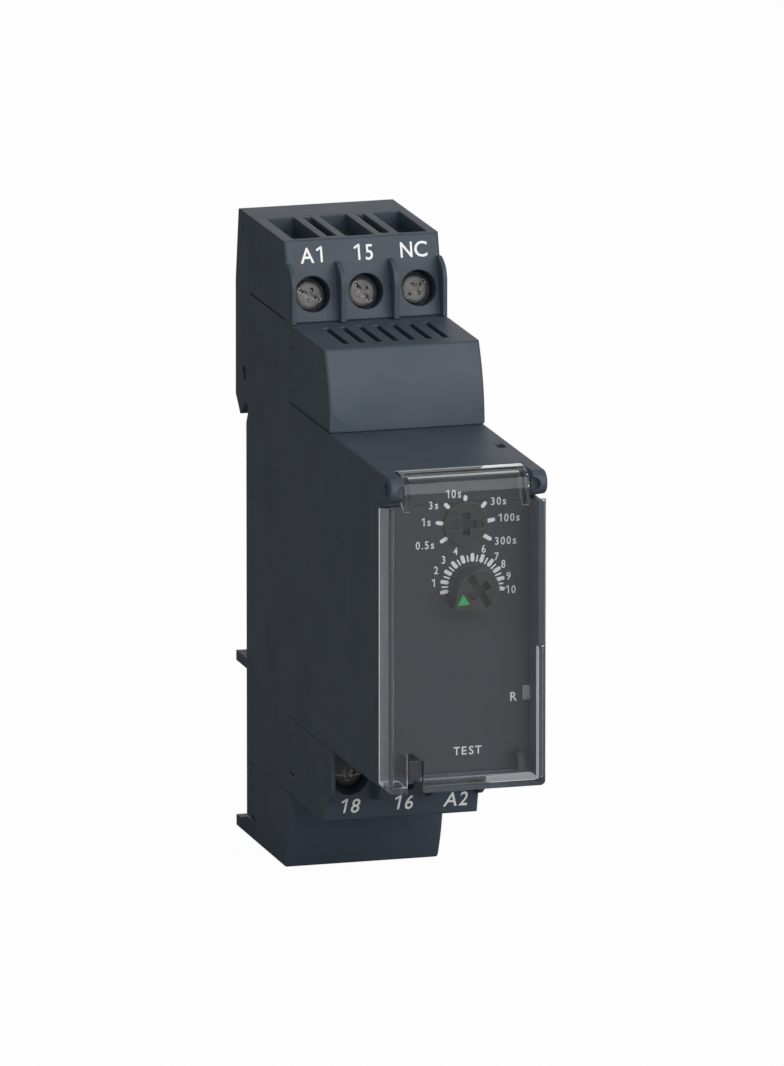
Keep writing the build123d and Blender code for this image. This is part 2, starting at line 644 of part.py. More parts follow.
def link_board(edge, sign, shelf, y_front, y_back):
    """Small board on the inside of a shelf, pierced by the bar tails."""
    face = sign * (shelf - WALL)
    low, high = sorted((face, face - sign * LINK_BOARD_THICK))
    body = block(-BOARD_HALF, BOARD_HALF, y_front, y_back, low, high)
    for x in TERMINAL_X:
        body -= bar_slot(x, edge, sign)
        body -= cage_room(x, edge, sign)
    return body


def switch_body(at, half, high, shaft_r):
    """Square base of a dial on the front board."""
    x, z = at
    body = block(x - half, x + half, FRONT_BOARD_FRONT - high, FRONT_BOARD_FRONT, z - half, z + half)
    bore = rod((x, FRONT_BOARD_FRONT - high - 1, z), (0, 1, 0), shaft_r + SHAFT_CLEAR, high + 0.3)
    return body - bore


def status_lamp():
    """Lamp chip behind the light guide."""
    return block(BOARD_HALF - 0.8, BOARD_HALF, FRONT_BOARD_FRONT - LAMP_HIGH, FRONT_BOARD_FRONT,
                 WINDOW_Z[0] + 0.2, WINDOW_Z[1] - 0.2)


def capacitor(y, z, radius, length):
    """Electrolytic can lying against the main board."""
    body = rod((MAIN_BOARD_X, y, z), (-1, 0, 0), radius, length)
    groove = rod((MAIN_BOARD_X - 1.6, y, z), (-1, 0, 0), radius + 1, 0.5) - rod(
        (MAIN_BOARD_X - 1.6, y, z), (-1, 0, 0), radius - 0.25, 0.5)
    far = body.edges().filter_by(GeomType.CIRCLE).sort_by(Axis.X)[:1]
    return fillet(far, 0.5) - groove


def timer_chip():
    """Control circuit with its side leads."""
    x = MAIN_BOARD_X
    body = block(x - 1.7, x - 0.1, -54.0, -44.0, 8.0, 12.0)
    for index in range(6):
        y = -53.2 + 1.7 * index
        body += block(x - 0.9, x, y, y + 0.5, 6.9, 8.2)
        body += block(x - 0.9, x, y, y + 0.5, 11.8, 13.1)
    return body


def surge_disc():
    """Disc that takes supply surges."""
    return rod((MAIN_BOARD_X - 0.4, -12.5, 22.0), (-1, 0, 0), 3.4, 2.4) + block(
        MAIN_BOARD_X - 0.9, MAIN_BOARD_X, -14.5, -14.0, 20.0, 21.0)


# Output relay on the main board
RELAY_Y = (-38.0, -13.0)
RELAY_Z = (-16.4, -0.4)
RELAY_MID = (RELAY_Z[0] + RELAY_Z[1]) / 2
RELAY_FOOT = MAIN_BOARD_X - 1.6
YOKE = 1.2
COIL_Y = -25.0
COIL_LENGTH = 9.6
COIL_END_GAP = 0.1
POLE_THICK = 1.0
GAP_ARMATURE = 0.3
RELAY_HIGH = YOKE + COIL_LENGTH + COIL_END_GAP + POLE_THICK + GAP_ARMATURE


def relay_base():
    """Moulded base the relay's metal parts stand on."""
    return block(RELAY_FOOT, MAIN_BOARD_X, RELAY_Y[0], RELAY_Y[1], RELAY_Z[0], RELAY_Z[1])


def relay_yoke():
    """L-shaped iron yoke."""
    z0, z1 = RELAY_MID - 4, RELAY_MID + 4
    foot = block(RELAY_FOOT - YOKE, RELAY_FOOT, -34.0, -18.0, z0, z1)
    back = block(RELAY_FOOT - RELAY_HIGH, RELAY_FOOT, -34.0, -34.0 + YOKE, z0, z1)
    return foot + back


def relay_coil():
    """Wound bobbin on the yoke's foot."""
    x = RELAY_FOOT - YOKE
    flange = 0.8
    start = (x, COIL_Y, RELAY_MID)
    body = rod(start, (-1, 0, 0), 5.2, COIL_LENGTH)
    body += rod(start, (-1, 0, 0), 5.9, flange)
    body += rod((x - COIL_LENGTH + flange, COIL_Y, RELAY_MID), (-1, 0, 0), 5.9, flange)
    return body - rod((x + 1, COIL_Y, RELAY_MID), (-1, 0, 0), 1.95, COIL_LENGTH + 2)


def relay_core():
    """Iron core through the bobbin with its pole face."""
    x = RELAY_FOOT - YOKE
    length = COIL_LENGTH + COIL_END_GAP
    core = rod((x, COIL_Y, RELAY_MID), (-1, 0, 0), 1.9, length)
    return core + rod((x - length, COIL_Y, RELAY_MID), (-1, 0, 0), 3.2, POLE_THICK)


def relay_armature():
    """Hinged iron plate with the contact arm; it stands a little off the pole face."""
    x = RELAY_FOOT - RELAY_HIGH
    plate = block(x - 1.05, x - SEAT, -34.0, -20.4, RELAY_MID - 3.6, RELAY_MID + 3.6)
    arm = block(x - 0.75, x - 0.45, -20.6, -16.2, RELAY_MID - 1.2, RELAY_MID + 1.2)
    return plate + arm + rod((x - 1.0, -16.9, RELAY_MID), (1, 0, 0), 0.8, 0.8)


def fixed_contact(name):
    """Fixed contact post on one side of the moving contact."""
    tip = RELAY_FOOT - RELAY_HIGH
    z0, z1 = RELAY_MID - 1.2, RELAY_MID + 1.2
    if name == "closing":
        post = block(tip + 0.35, RELAY_FOOT, -16.0, -15.4, z0, z1)
        return post + block(tip + 0.35, tip + 0.95, -17.6, -15.8, z0 + 0.2, z1 - 0.2)
    post = block(tip - 1.7, RELAY_FOOT, -14.6, -14.0, z0, z1)
    return post + block(tip - 1.7, tip - 1.1, -17.6, -14.4, z0 + 0.2, z1 - 0.2)


# Build every node
save("main_housing", main_housing())
save("upper_terminal_block", terminal_block(
    OUTER_EDGE, 1, OUTER_SEAM, OUTER_SEAM_END, OUTER_SEAM_STEP, TOP, STEP_OUT))
save("lower_terminal_block", terminal_block(
    INNER_EDGE, -1, INNER_SEAM, INNER_SEAM_END, INNER_SEAM_STEP, STEP_OUT, STEP_IN))
save("vent_cap", blank_block(
    -40.3, 1, INNER_SEAM, INNER_SEAM_END, INNER_SEAM_STEP, STEP_OUT, STEP_IN, 7))
lower_cap = blank_block(
    OUTER_EDGE, -1, OUTER_SEAM, OUTER_SEAM_END, OUTER_SEAM_STEP, TOP, STEP_OUT, 7)
lower_cap = fillet(lower_cap.edges().filter_by(Axis.Y).filter_by_position(Axis.Z, -TOP - 0.01, -TOP + 0.01)
                   .filter_by(lambda e: abs(e.center().X) > HALF - 0.1), EDGE_R)
lower_cap -= block(-CHANNEL_HALF, CHANNEL_HALF, -CHANNEL_DEPTH, 1, -TOP, -STEP_OUT + 1)
save("lower_blank_cap", lower_cap)
save("front_panel", front_panel())
save("range_knob", range_knob())
save("time_knob", time_knob())
save("light_window", light_window())
save("clear_cover", clear_cover())
save("rail_clip", rail_clip())
save("clip_spring", clip_spring())
save("main_board", main_board())
save("front_board", front_board())
save("upper_link_board", link_board(OUTER_EDGE, 1, STEP_OUT, -20.4, -5.2))
save("lower_link_board", link_board(INNER_EDGE, -1, STEP_IN, -42.5, -24.0))
save("range_switch_body", switch_body(RANGE_AT, 3.5, 3.4, RANGE_SHAFT_R))
save("time_pot_body", switch_body(TIME_AT, 3.7, 3.8, TIME_SHAFT_R))
save("status_lamp", status_lamp())
save("supply_capacitor", capacitor(-51.5, -12.0, 4.0, 11.0))
save("timing_capacitor", capacitor(-30.0, 10.0, 3.0, 8.0))
save("timer_chip", timer_chip())
save("surge_disc", surge_disc())
save("relay_base", relay_base())
save("relay_yoke", relay_yoke())
save("relay_coil", relay_coil())
save("relay_core", relay_core())
save("relay_armature", relay_armature())
save("relay_closing_contact", fixed_contact("closing"))
save("relay_opening_contact", fixed_contact("opening"))
TERMINALS = {
    "a1": (TERMINAL_X[0], OUTER_EDGE, 1),
    "15": (TERMINAL_X[1], OUTER_EDGE, 1),
    "nc": (TERMINAL_X[2], OUTER_EDGE, 1),
    "18": (TERMINAL_X[0], INNER_EDGE, -1),
    "16": (TERMINAL_X[1], INNER_EDGE, -1),
    "a2": (TERMINAL_X[2], INNER_EDGE, -1),
}
for label, where in TERMINALS.items():
    save(f"terminal_screw_{label}", terminal_screw(*where))
    save(f"clamp_cage_{label}", clamp_cage(*where))
    save(f"contact_bar_{label}", contact_bar(*where))
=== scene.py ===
"""Looks of a narrow rail-mounted timer relay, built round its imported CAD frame.

All lengths in the classes are millimetres in the frame of the part: +X across the width,
-Y towards the operator, +Z up. MM turns them to Blender's metres.
"""
import json
import logging
import math
from dataclasses import dataclass, field
from enum import Enum
from typing import ClassVar

import bpy
from mathutils import Matrix, Vector


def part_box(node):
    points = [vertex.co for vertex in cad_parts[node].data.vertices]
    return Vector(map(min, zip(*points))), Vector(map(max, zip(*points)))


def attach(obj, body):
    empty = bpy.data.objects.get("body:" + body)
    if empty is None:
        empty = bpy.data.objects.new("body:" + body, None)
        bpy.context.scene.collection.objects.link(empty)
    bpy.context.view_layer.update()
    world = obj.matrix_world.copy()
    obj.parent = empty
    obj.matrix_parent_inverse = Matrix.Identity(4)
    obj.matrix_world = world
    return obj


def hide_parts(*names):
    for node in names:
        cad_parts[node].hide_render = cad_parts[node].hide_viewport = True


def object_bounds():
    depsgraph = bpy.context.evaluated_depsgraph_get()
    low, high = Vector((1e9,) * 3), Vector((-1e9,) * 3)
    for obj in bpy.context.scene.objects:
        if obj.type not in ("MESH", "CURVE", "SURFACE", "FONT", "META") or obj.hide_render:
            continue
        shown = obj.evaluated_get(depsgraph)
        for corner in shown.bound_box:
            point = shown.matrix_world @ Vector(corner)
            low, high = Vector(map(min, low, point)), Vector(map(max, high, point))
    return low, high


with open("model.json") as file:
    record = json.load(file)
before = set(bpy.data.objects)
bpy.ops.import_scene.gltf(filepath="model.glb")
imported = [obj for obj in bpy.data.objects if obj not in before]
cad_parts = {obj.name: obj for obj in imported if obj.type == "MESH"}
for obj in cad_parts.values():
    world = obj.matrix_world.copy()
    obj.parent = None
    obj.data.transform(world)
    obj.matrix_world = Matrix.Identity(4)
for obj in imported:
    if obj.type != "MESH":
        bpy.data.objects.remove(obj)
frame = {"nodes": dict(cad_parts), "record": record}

CAD_LOW, CAD_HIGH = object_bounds()
MM = 0.001
# Radians that Blender's wave texture turns for each metre at a scale of 1
WAVE_RATE = 20.0
# Distances in metres below which two points are one, and an edge or a coordinate is nothing
WELD = 0.00001
SLIVER = 0.000005
NOTHING = 1e-9
# Height of a unit normal above which a face looks up
FACES_UP = 0.5
WHITE = (1.0, 1.0, 1.0, 1.0)
log = logging.getLogger("timer_relay")

Point2 = tuple[float, float]
Point3 = tuple[float, float, float]
Tree, Node, Socket = bpy.types.NodeTree, bpy.types.Node, bpy.types.NodeSocket
Piece, Material = bpy.types.Object, bpy.types.Material

# The two sloped terminal faces: their slope in degrees and (y, z) of their outer edges
TERMINAL_SLOPE = 15.1
UPPER_EDGE: Point2 = (-19.72, 45.0)
LOWER_EDGE: Point2 = (-39.5, -33.8)
# Terminal screws: label, column, 1 for the upper row or -1 for the lower one, turn in degrees
SCREWS: tuple[tuple[str, int, int, float], ...] = (
    ("a1", -1, 1, 27.0), ("15", 0, 1, 52.0), ("nc", 1, 1, -37.0),
    ("18", -1, -1, 2.0), ("16", 0, -1, 20.0), ("a2", 1, -1, -25.0))


# Colour and node helpers
def linear(code: str) -> tuple[float, float, float, float]:
    """Turn an sRGB hex colour into linear RGBA.

    Args:
        code: Colour such as "#3d4651".

    Returns:
        The linear colour with full alpha.
    """
    parts = [int(code[i:i + 2], 16) / 255 for i in (1, 3, 5)]
    flat = [c / 12.92 if c <= 0.04045 else ((c + 0.055) / 1.055) ** 2.4 for c in parts]
    return flat[0], flat[1], flat[2], 1.0


def empty_tree(made: Material | bpy.types.World) -> Tree:
    """Turn nodes on and clear them.

    Args:
        made: New material or world.

    Returns:
        Its empty node tree.
    """
    made.use_nodes = True
    made.node_tree.nodes.clear()
    return made.node_tree


def add_node(tree: Tree, kind: str, settings: dict | None = None, links: dict | None = None) -> Node:
    """Add one node with its settings and incoming links.

    Args:
        tree: Node tree to add to.
        kind: Node type, such as "Bump".
        settings: Attribute names or "in:Socket" names with their values.
        links: Input names or numbers with the output sockets that feed them.

    Returns:
        The new node.
    """
    node = tree.nodes.new("ShaderNode" + kind)
    for name, value in (settings or {}).items():
        if name.startswith("in:"):
            node.inputs[name[3:]].default_value = value
        else:
            setattr(node, name, value)
    for name, source in (links or {}).items():
        tree.links.new(source, node.inputs[name])
    return node


def calculate(tree: Tree, operation: str, first: Socket, second: Socket | float) -> Socket:
    """Work out one value from two.

    Args:
        tree: Node tree to add to.
        operation: Math node operation, such as "MULTIPLY".
        first: Output socket.
        second: Output socket, or a plain number.

    Returns:
        The result's socket.
    """
    node = add_node(tree, "Math", {"operation": operation}, {0: first})
    if isinstance(second, float):
        node.inputs[1].default_value = second
    else:
        tree.links.new(second, node.inputs[1])
    return node.outputs["Value"]


def blend_colours(tree: Tree, share: Socket, plain: Socket | str, other: str) -> Socket:
    """Mix two colours.

    Args:
        tree: Node tree to add to.
        share: Socket that is 0 for the plain colour and 1 for the other.
        plain: Colour socket or hex colour.
        other: Hex colour.

    Returns:
        The mixed colour's socket.
    """
    node = add_node(tree, "Mix", {"data_type": "RGBA"}, {"Factor": share})
    if isinstance(plain, str):
        node.inputs[6].default_value = linear(plain)
    else:
        tree.links.new(plain, node.inputs[6])
    node.inputs[7].default_value = linear(other)
    return node.outputs[2]


def roughen(tree: Tree, shader: Node, value: Socket, limits: Point2) -> None:
    """Let a value drive the shader's roughness.

    Args:
        tree: Node tree.
        shader: The shader.
        value: Socket from 0 to 1.
        limits: Roughness at 0 and at 1.
    """
    node = add_node(tree, "MapRange", {"in:To Min": limits[0], "in:To Max": limits[1]}, {"Value": value})
    tree.links.new(node.outputs["Result"], shader.inputs["Roughness"])


def emboss(tree: Tree, shader: Node, height: Socket, relief: Point2, rounded: Node | None = None) -> None:
    """Let a value raise and sink the surface.

    Args:
        tree: Node tree.
        shader: The shader.
        height: Socket from 0 to 1.
        relief: Strength, and depth in millimetres.
        rounded: Bevel node that gives the smooth surface under it.
    """
    links = {"Height": height}
    if rounded is not None:
        links["Normal"] = rounded.outputs["Normal"]
    node = add_node(tree, "Bump", {"in:Strength": relief[0], "in:Distance": relief[1] * MM}, links)
    tree.links.new(node.outputs["Normal"], shader.inputs["Normal"])


# Finishes
class Grain(Enum):
    """How coarse a moulded surface's eroded grain is drawn, in millimetres a cell."""

    FINE = 0.30
    SATIN = 0.55


@dataclass(frozen=True)
class Finish:
    """What every finish has: a name and a way to make the material."""

    name: str
    # Cosines of the edge's turn at which the painted edge highlight starts and is full
    HIGHLIGHT_TURN: ClassVar[Point2] = (0.995, 0.90)

    def start(self, settings: dict) -> tuple[Material, Tree, Node, Node]:
        """Make a material with one shader.

        Args:
            settings: The shader's plain values, as for add_node.

        Returns:
            Material, tree, shader and output node.
        """
        made = bpy.data.materials.new(self.name)
        tree = empty_tree(made)
        shader = add_node(tree, "BsdfPrincipled", settings)
        output = add_node(tree, "OutputMaterial", links={"Surface": shader.outputs["BSDF"]})
        return made, tree, shader, output

    @staticmethod
    def object_point(tree: Tree) -> Socket:
        """Coordinates that stay with the object.

        Args:
            tree: Node tree.

        Returns:
            The coordinates in metres.
        """
        return add_node(tree, "TexCoord").outputs["Object"]

    @staticmethod
    def noise(tree: Tree, point: Socket, cell: float, detail: float = 3.0) -> Socket:
        """Noise whose cells have a real size.

        Args:
            tree: Node tree.
            point: Coordinates in metres.
            cell: Size of one cell in millimetres.
            detail: Octaves.

        Returns:
            The noise value.
        """
        node = add_node(tree, "TexNoise", {"in:Scale": 1.0 / (cell * MM), "in:Detail": detail},
                        {"Vector": point})
        return node.outputs["Fac"]

    @staticmethod
    def edge_highlight_share(tree: Tree, rounded: Node) -> Socket:
        """Find the rounded edges that get a painted highlight.

        Args:
            tree: Node tree.
            rounded: Bevel node whose normal turns near an edge.

        Returns:
            Share that is 1 on an edge and 0 on a flat.
        """
        flat = add_node(tree, "NewGeometry").outputs["Normal"]
        turn = add_node(tree, "VectorMath", {"operation": "DOT_PRODUCT"},
                        {0: rounded.outputs["Normal"], 1: flat})
        node = add_node(tree, "MapRange",
                        {"in:From Min": Finish.HIGHLIGHT_TURN[0], "in:From Max": Finish.HIGHLIGHT_TURN[1]},
                        {"Value": turn.outputs["Value"]})
        return node.outputs["Result"]

    def build(self) -> Material:
        """Make the material."""
        raise NotImplementedError


@dataclass(frozen=True)
class MouldedPlastic(Finish):
    """Injection-moulded plastic from a spark-eroded tool: even, dull, with a painted highlight on its soft
    edges.
    """

    colour: str
    shade: str
    # Painted highlight: the paler colour that the rounded edges are painted
    edge: str
    roughness: Point2 = (0.5, 0.62)
    grain: Grain = Grain.FINE
    grain_depth: float = 0.0016
    edge_radius: float = 0.28
    specular: float = 0.4
    ior: float = 1.53
    cloud_cell: float = 7.0
    cloud_range: Point2 = (0.35, 0.65)
    fleck_cell: float = 1.1
    grain_strength: float = 0.55

    def build(self) -> Material:
        """Make the material: clouded base colour, a patchy painted highlight on the edges and eroded grain.
        """
        made, tree, shader, _ = self.start({"in:IOR": self.ior, "in:Specular IOR Level": self.specular})
        point = self.object_point(tree)
        cloud = self.noise(tree, point, self.cloud_cell, 2.0)
        spread = add_node(tree, "MapRange",
                          {"in:From Min": self.cloud_range[0], "in:From Max": self.cloud_range[1]},
                          {"Value": cloud})
        base = blend_colours(tree, spread.outputs["Result"], self.colour, self.shade)
        rounded = add_node(tree, "Bevel", {"samples": 6, "in:Radius": self.edge_radius * MM})
        fleck = self.noise(tree, point, self.fleck_cell, 3.0)
        patchy_highlight = add_node(tree, "Math", {"operation": "MULTIPLY", "use_clamp": True},
                          {0: self.edge_highlight_share(tree, rounded), 1: fleck})
        highlighted = blend_colours(tree, patchy_highlight.outputs["Value"], base, self.edge)
        tree.links.new(highlighted, shader.inputs["Base Color"])
        roughen(tree, shader, cloud, self.roughness)
        pits = self.noise(tree, point, self.grain.value, 2.0)
        emboss(tree, shader, pits, (self.grain_strength, self.grain_depth), rounded)
        return made


@dataclass(frozen=True)
class ClearPlastic(Finish):
    """Clear moulded polycarbonate: polished by its tool, with faint ripples of the melt."""

    colour: str
    passed: str
    ior: float = 1.585
    roughness: Point2 = (0.0, 0.01)
    ripple_cell: float = 9.0
    ripple: Point2 = (0.1, 0.01)
    gloss_cell: float = 2.5

    def build(self) -> Material:
        """Make the material: tinted, faintly rippled, and letting the lamps' light through."""
        made, tree, shader, output = self.start(
            {"in:Base Color": linear(self.colour), "in:Transmission Weight": 1.0, "in:IOR": self.ior})
        point = self.object_point(tree)
        emboss(tree, shader, self.noise(tree, point, self.ripple_cell, 1.0), self.ripple)
        roughen(tree, shader, self.noise(tree, point, self.gloss_cell, 3.0), self.roughness)
        rays = add_node(tree, "LightPath")
        through = add_node(tree, "BsdfTransparent", {"in:Color": linear(self.passed)})
        blend = add_node(tree, "MixShader", None,
                         {0: rays.outputs["Is Shadow Ray"], 1: shader.outputs["BSDF"],
                          2: through.outputs["BSDF"]})
        tree.links.new(blend.outputs["Shader"], output.inputs["Surface"])
        return made


@dataclass(frozen=True)
class PlatedMetal(Finish):
    """Zinc- or nickel-plated steel: bright, with fine tool lines and a few dull clouds."""

    colour: str
    shade: str
    roughness: Point2 = (0.22, 0.42)
    # Painted glint: the bright colour that the rounded edges are painted
    edge: str = "#f1f1ef"
    edge_radius: float = 0.06
    metallic: float = 1.0
    line: float = 0.25
    line_relief: Point2 = (0.5, 0.004)
    line_stretch: float = 0.12
    cloud_cell: float = 0.9

    def build(self) -> Material:
        """Make the material: cloudy plating, painted glints on the rounded edges and drawn lines in its bump.
        """
        made, tree, shader, _ = self.start({"in:Metallic": self.metallic})
        point = self.object_point(tree)
        cloud = self.noise(tree, point, self.cloud_cell, 4.0)
        base = blend_colours(tree, cloud, self.colour, self.shade)
        rounded = add_node(tree, "Bevel", {"samples": 4, "in:Radius": self.edge_radius * MM})
        highlighted = blend_colours(tree, self.edge_highlight_share(tree, rounded), base, self.edge)
        tree.links.new(highlighted, shader.inputs["Base Color"])
        roughen(tree, shader, cloud, self.roughness)
        stretch = add_node(tree, "Mapping",
                           {"in:Scale": (1.0, self.line_stretch, self.line_stretch)}, {"Vector": point})
        lines = self.noise(tree, stretch.outputs["Vector"], self.line, 3.0)
        emboss(tree, shader, lines, self.line_relief, rounded)
        return made


@dataclass(frozen=True)
class PrintedInk(Finish):
    """Pad-printed ink: flat colour with a slightly broken film."""

    colour: str
    shade: str
    roughness: float = 0.5
    film_cell: float = 0.25
    film_relief: Point2 = (0.3, 0.004)

    def build(self) -> Material:
        """Make the material: two close tones over a fine film grain."""
        made, tree, shader, _ = self.start({"in:Roughness": self.roughness})
        point = self.object_point(tree)
        film = self.noise(tree, point, self.film_cell, 3.0)
        tree.links.new(blend_colours(tree, film, self.colour, self.shade), shader.inputs["Base Color"])
        emboss(tree, shader, film, self.film_relief)
        return made


@dataclass(frozen=True)
class BoardLaminate(Finish):
    """Green solder-masked glass-fibre laminate with raised tracks on the pad grid."""

    colour: str
    track: str
    weave: float = 0.6
    pitch: float = 2.54
    gap_share: float = 0.09
    relief: Point2 = (0.4, 0.03)
    roughness: float = 0.35

    def build(self) -> Material:
        """Make the material: a weave in the resin and tracks on the pad grid."""
        made, tree, shader, _ = self.start({"in:Roughness": self.roughness})
        point = self.object_point(tree)
        weave = add_node(tree, "TexWave",
                         {"in:Scale": 1.0 / (self.weave * MM * WAVE_RATE), "in:Distortion": 1.5},
                         {"Vector": point})
        tracks = add_node(tree, "TexBrick",
                          {"in:Scale": 1.0 / (self.pitch * MM), "in:Mortar Size": self.gap_share,
                           "in:Brick Width": 2.0, "in:Row Height": 1.0}, {"Vector": point})
        base = blend_colours(tree, tracks.outputs["Fac"], self.colour, self.track)
        tree.links.new(base, shader.inputs["Base Color"])
        height = calculate(tree, "ADD", weave.outputs["Fac"], tracks.outputs["Fac"])
        emboss(tree, shader, height, self.relief)
        return made


@dataclass(frozen=True)
class WoundTape(Finish):
    """Amber polyester tape wound over the coil: glossy bands with darker laps."""

    colour: str
    lap: str
    band: float = 1.6
    lap_relief: Point2 = (0.5, 0.05)
    roughness: float = 0.22

    def build(self) -> Material:
        """Make the material: one band for each turn of tape."""
        made, tree, shader, _ = self.start({"in:Roughness": self.roughness})
        point = self.object_point(tree)
        bands = add_node(tree, "TexWave",
                         {"bands_direction": "X", "wave_profile": "SAW",
                          "in:Scale": 1.0 / (self.band * MM * WAVE_RATE), "in:Distortion": 0.3},
                         {"Vector": point})
        base = blend_colours(tree, bands.outputs["Fac"], self.colour, self.lap)
        tree.links.new(base, shader.inputs["Base Color"])
        emboss(tree, shader, bands.outputs["Fac"], self.lap_relief)
        return made


# In each moulded finish below, the third colour is a painted highlight along the rounded edges
# Blue-grey glass-filled polyamide, moulded in an eroded tool: dull, with a paler painted highlight on its
# edges
CASE = MouldedPlastic("moulded_polyamide_case", "#3e4955", "#3b4651", "#4f5a65")
# The panel behind the cover is moulded in a neutral black-grey, a little smoother
PANEL = MouldedPlastic("moulded_polycarbonate_panel", "#2d3239", "#2b3036", "#52555a", (0.4, 0.52))
# The rail slide is the case's polyamide from another tool, a shade darker
SLIDE = MouldedPlastic("moulded_polyamide_slide", "#3b4651", "#37414c", "#5f6a75")
# Dials are black polyamide with a satin face for the screwdriver
DIAL = MouldedPlastic("moulded_polyamide_dial", "#2e2e2d", "#2a2a29", "#6a6a68", (0.45, 0.6), Grain.SATIN)
# Component bodies are black epoxy with a matt, slightly pitted skin
EPOXY = MouldedPlastic("moulded_epoxy_body", "#1c1c1f", "#18181b", "#333336", (0.5, 0.7), Grain.SATIN, 0.01)
# Blue dipped coating of the surge disc: glossy and a little uneven
DIPPED = MouldedPlastic("dipped_epoxy_coating", "#2b5aa0", "#244d8c", "#5480bd", (0.2, 0.32),
                        Grain.SATIN, 0.02)
# Grey translucent acrylic of the light guide
GUIDE = MouldedPlastic("moulded_acrylic_guide", "#a1a1a2", "#98989a", "#b7b7b9", (0.25, 0.35))
# Water-clear epoxy lens of the lamp
LENS = MouldedPlastic("cast_epoxy_lens", "#e8e6d2", "#dedbc4", "#f5f4ea", (0.12, 0.2))
# Clear polycarbonate with a smoky tint, polished by its tool
CLEAR = ClearPlastic("moulded_clear_polycarbonate", "#eceef0", "#f0f1f2", 1.45)
# Zinc-plated cold-headed steel: dull grey passivated heads, painted darker than bare zinc as painted shade
# for the dim room they reflect, with painted white glints on the edges
SCREW = PlatedMetal("zinc_plated_screw_steel", "#5a5858", "#464444", (0.28, 0.44), "#ffffff", 0.15, 0.4)
CAGE = PlatedMetal("zinc_plated_pressed_steel", "#c9c9c6", "#9a9993", (0.28, 0.48))
SPRING = PlatedMetal("drawn_spring_steel", "#b5b5b3", "#8c8b88", (0.2, 0.35))
# Tinned brass: warm where the tin is thin
BRASS = PlatedMetal("stamped_tinned_brass", "#d8c68f", "#c9c2ae", (0.25, 0.4))
IRON = PlatedMetal("nickel_plated_iron", "#b9b7b0", "#918f88", (0.3, 0.5))
ALUMINIUM = PlatedMetal("drawn_aluminium_can", "#d2d3d6", "#b4b5b9", (0.22, 0.34))
LAMINATE = BoardLaminate("solder_masked_laminate", "#1c5234", "#2c7049")
TAPE = WoundTape("wound_polyester_tape", "#a8802c", "#7c5a1c")
WHITE_INK = PrintedInk("white_pad_print", "#fafaf8", "#f0f0ee")
GREEN_INK = PrintedInk("green_pad_print", "#24ad57", "#1fa350")

SLOT_FINISH: dict[str, Finish] = {
    "case_plastic": CASE, "panel_plastic": PANEL, "clear_plastic": CLEAR, "window_plastic": GUIDE,
    "dial_plastic": DIAL, "clip_plastic": SLIDE, "screw_steel": SCREW, "cage_steel": CAGE,
    "spring_steel": SPRING, "contact_brass": BRASS, "board_laminate": LAMINATE,
    "component_plastic": EPOXY, "can_aluminium": ALUMINIUM, "disc_coating": DIPPED,
    "relay_iron": IRON, "coil_tape": TAPE, "lamp_resin": LENS,
}


class Workshop:
    """Keeps the materials that were made and dresses pieces with them."""

    def __init__(self) -> None:
        """Start with no material made."""
        self.made: dict[str, Material] = {}

    def material(self, finish: Finish) -> Material:
        """Make a finish's material once.

        Args:
            finish: The finish.

        Returns:
            Its material.
        """
        if finish.name not in self.made:
            self.made[finish.name] = finish.build()
        return self.made[finish.name]

    def dress(self, piece: Piece, finish: Finish) -> None:
        """Give a piece one finish all over.

        Args:
            piece: The mesh object.
            finish: Its finish.
        """
        piece.data.materials.clear()
        piece.data.materials.append(self.material(finish))

    def deliver(self, piece: Piece, name: str, body: str, finish: Finish, slot: str | None = None) -> Piece:
        """Name and dress a new piece and let it ride on a body.

        Args:
            piece: The finished mesh object.
            name: Its name.
            body: The body it moves with.
            finish: Its finish.
            slot: The record's material slot, where there is one; not used.

        Returns:
            The piece.
        """
        piece.name = name
        piece.data.name = name
        self.dress(piece, finish)
        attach(piece, body)
        log.info("made %s: %d faces on %s", name, len(piece.data.polygons), body)
        return piece


# Modelling helpers
def deselect() -> None:
    """Deselect every object."""
    bpy.ops.object.select_all(action="DESELECT")


def add_object(name: str, data: bpy.types.ID) -> Piece:
    """Put data into the scene as an object.

    Args:
        name: The object's name.
        data: Its mesh, camera or lamp data.

    Returns:
        The object.
    """
    made = bpy.data.objects.new(name, data)
    bpy.context.scene.collection.objects.link(made)
    return made


def pick(piece: Piece) -> None:
    """Select one object alone and make it active.

    Args:
        piece: The object.
    """
    deselect()
    piece.select_set(True)
    bpy.context.view_layer.objects.active = piece


def settle(piece: Piece) -> Piece:
    """Write a piece's place into its mesh.

    Args:
        piece: The mesh object.

    Returns:
        The same object.
    """
    pick(piece)
    bpy.ops.object.transform_apply(location=True, rotation=True, scale=True)
    return piece


def join(pieces: list[Piece]) -> Piece:
    """Join several meshes into the first one.

    Args:
        pieces: Mesh objects.

    Returns:
        The joined object.
    """
    deselect()
    for piece in pieces:
        piece.select_set(True)
    bpy.context.view_layer.objects.active = pieces[0]
    bpy.ops.object.join()
    return pieces[0]


def apply_modifier(piece: Piece, kind: str, **settings: object) -> None:
    """Add one modifier and apply it at once.

    Args:
        piece: The mesh object.
        kind: Modifier type.
        settings: Its settings by name.
    """
    modifier = piece.modifiers.new(kind.lower(), kind)
    for name, value in settings.items():
        setattr(modifier, name, value)
    pick(piece)
    bpy.ops.object.modifier_apply(modifier=modifier.name)


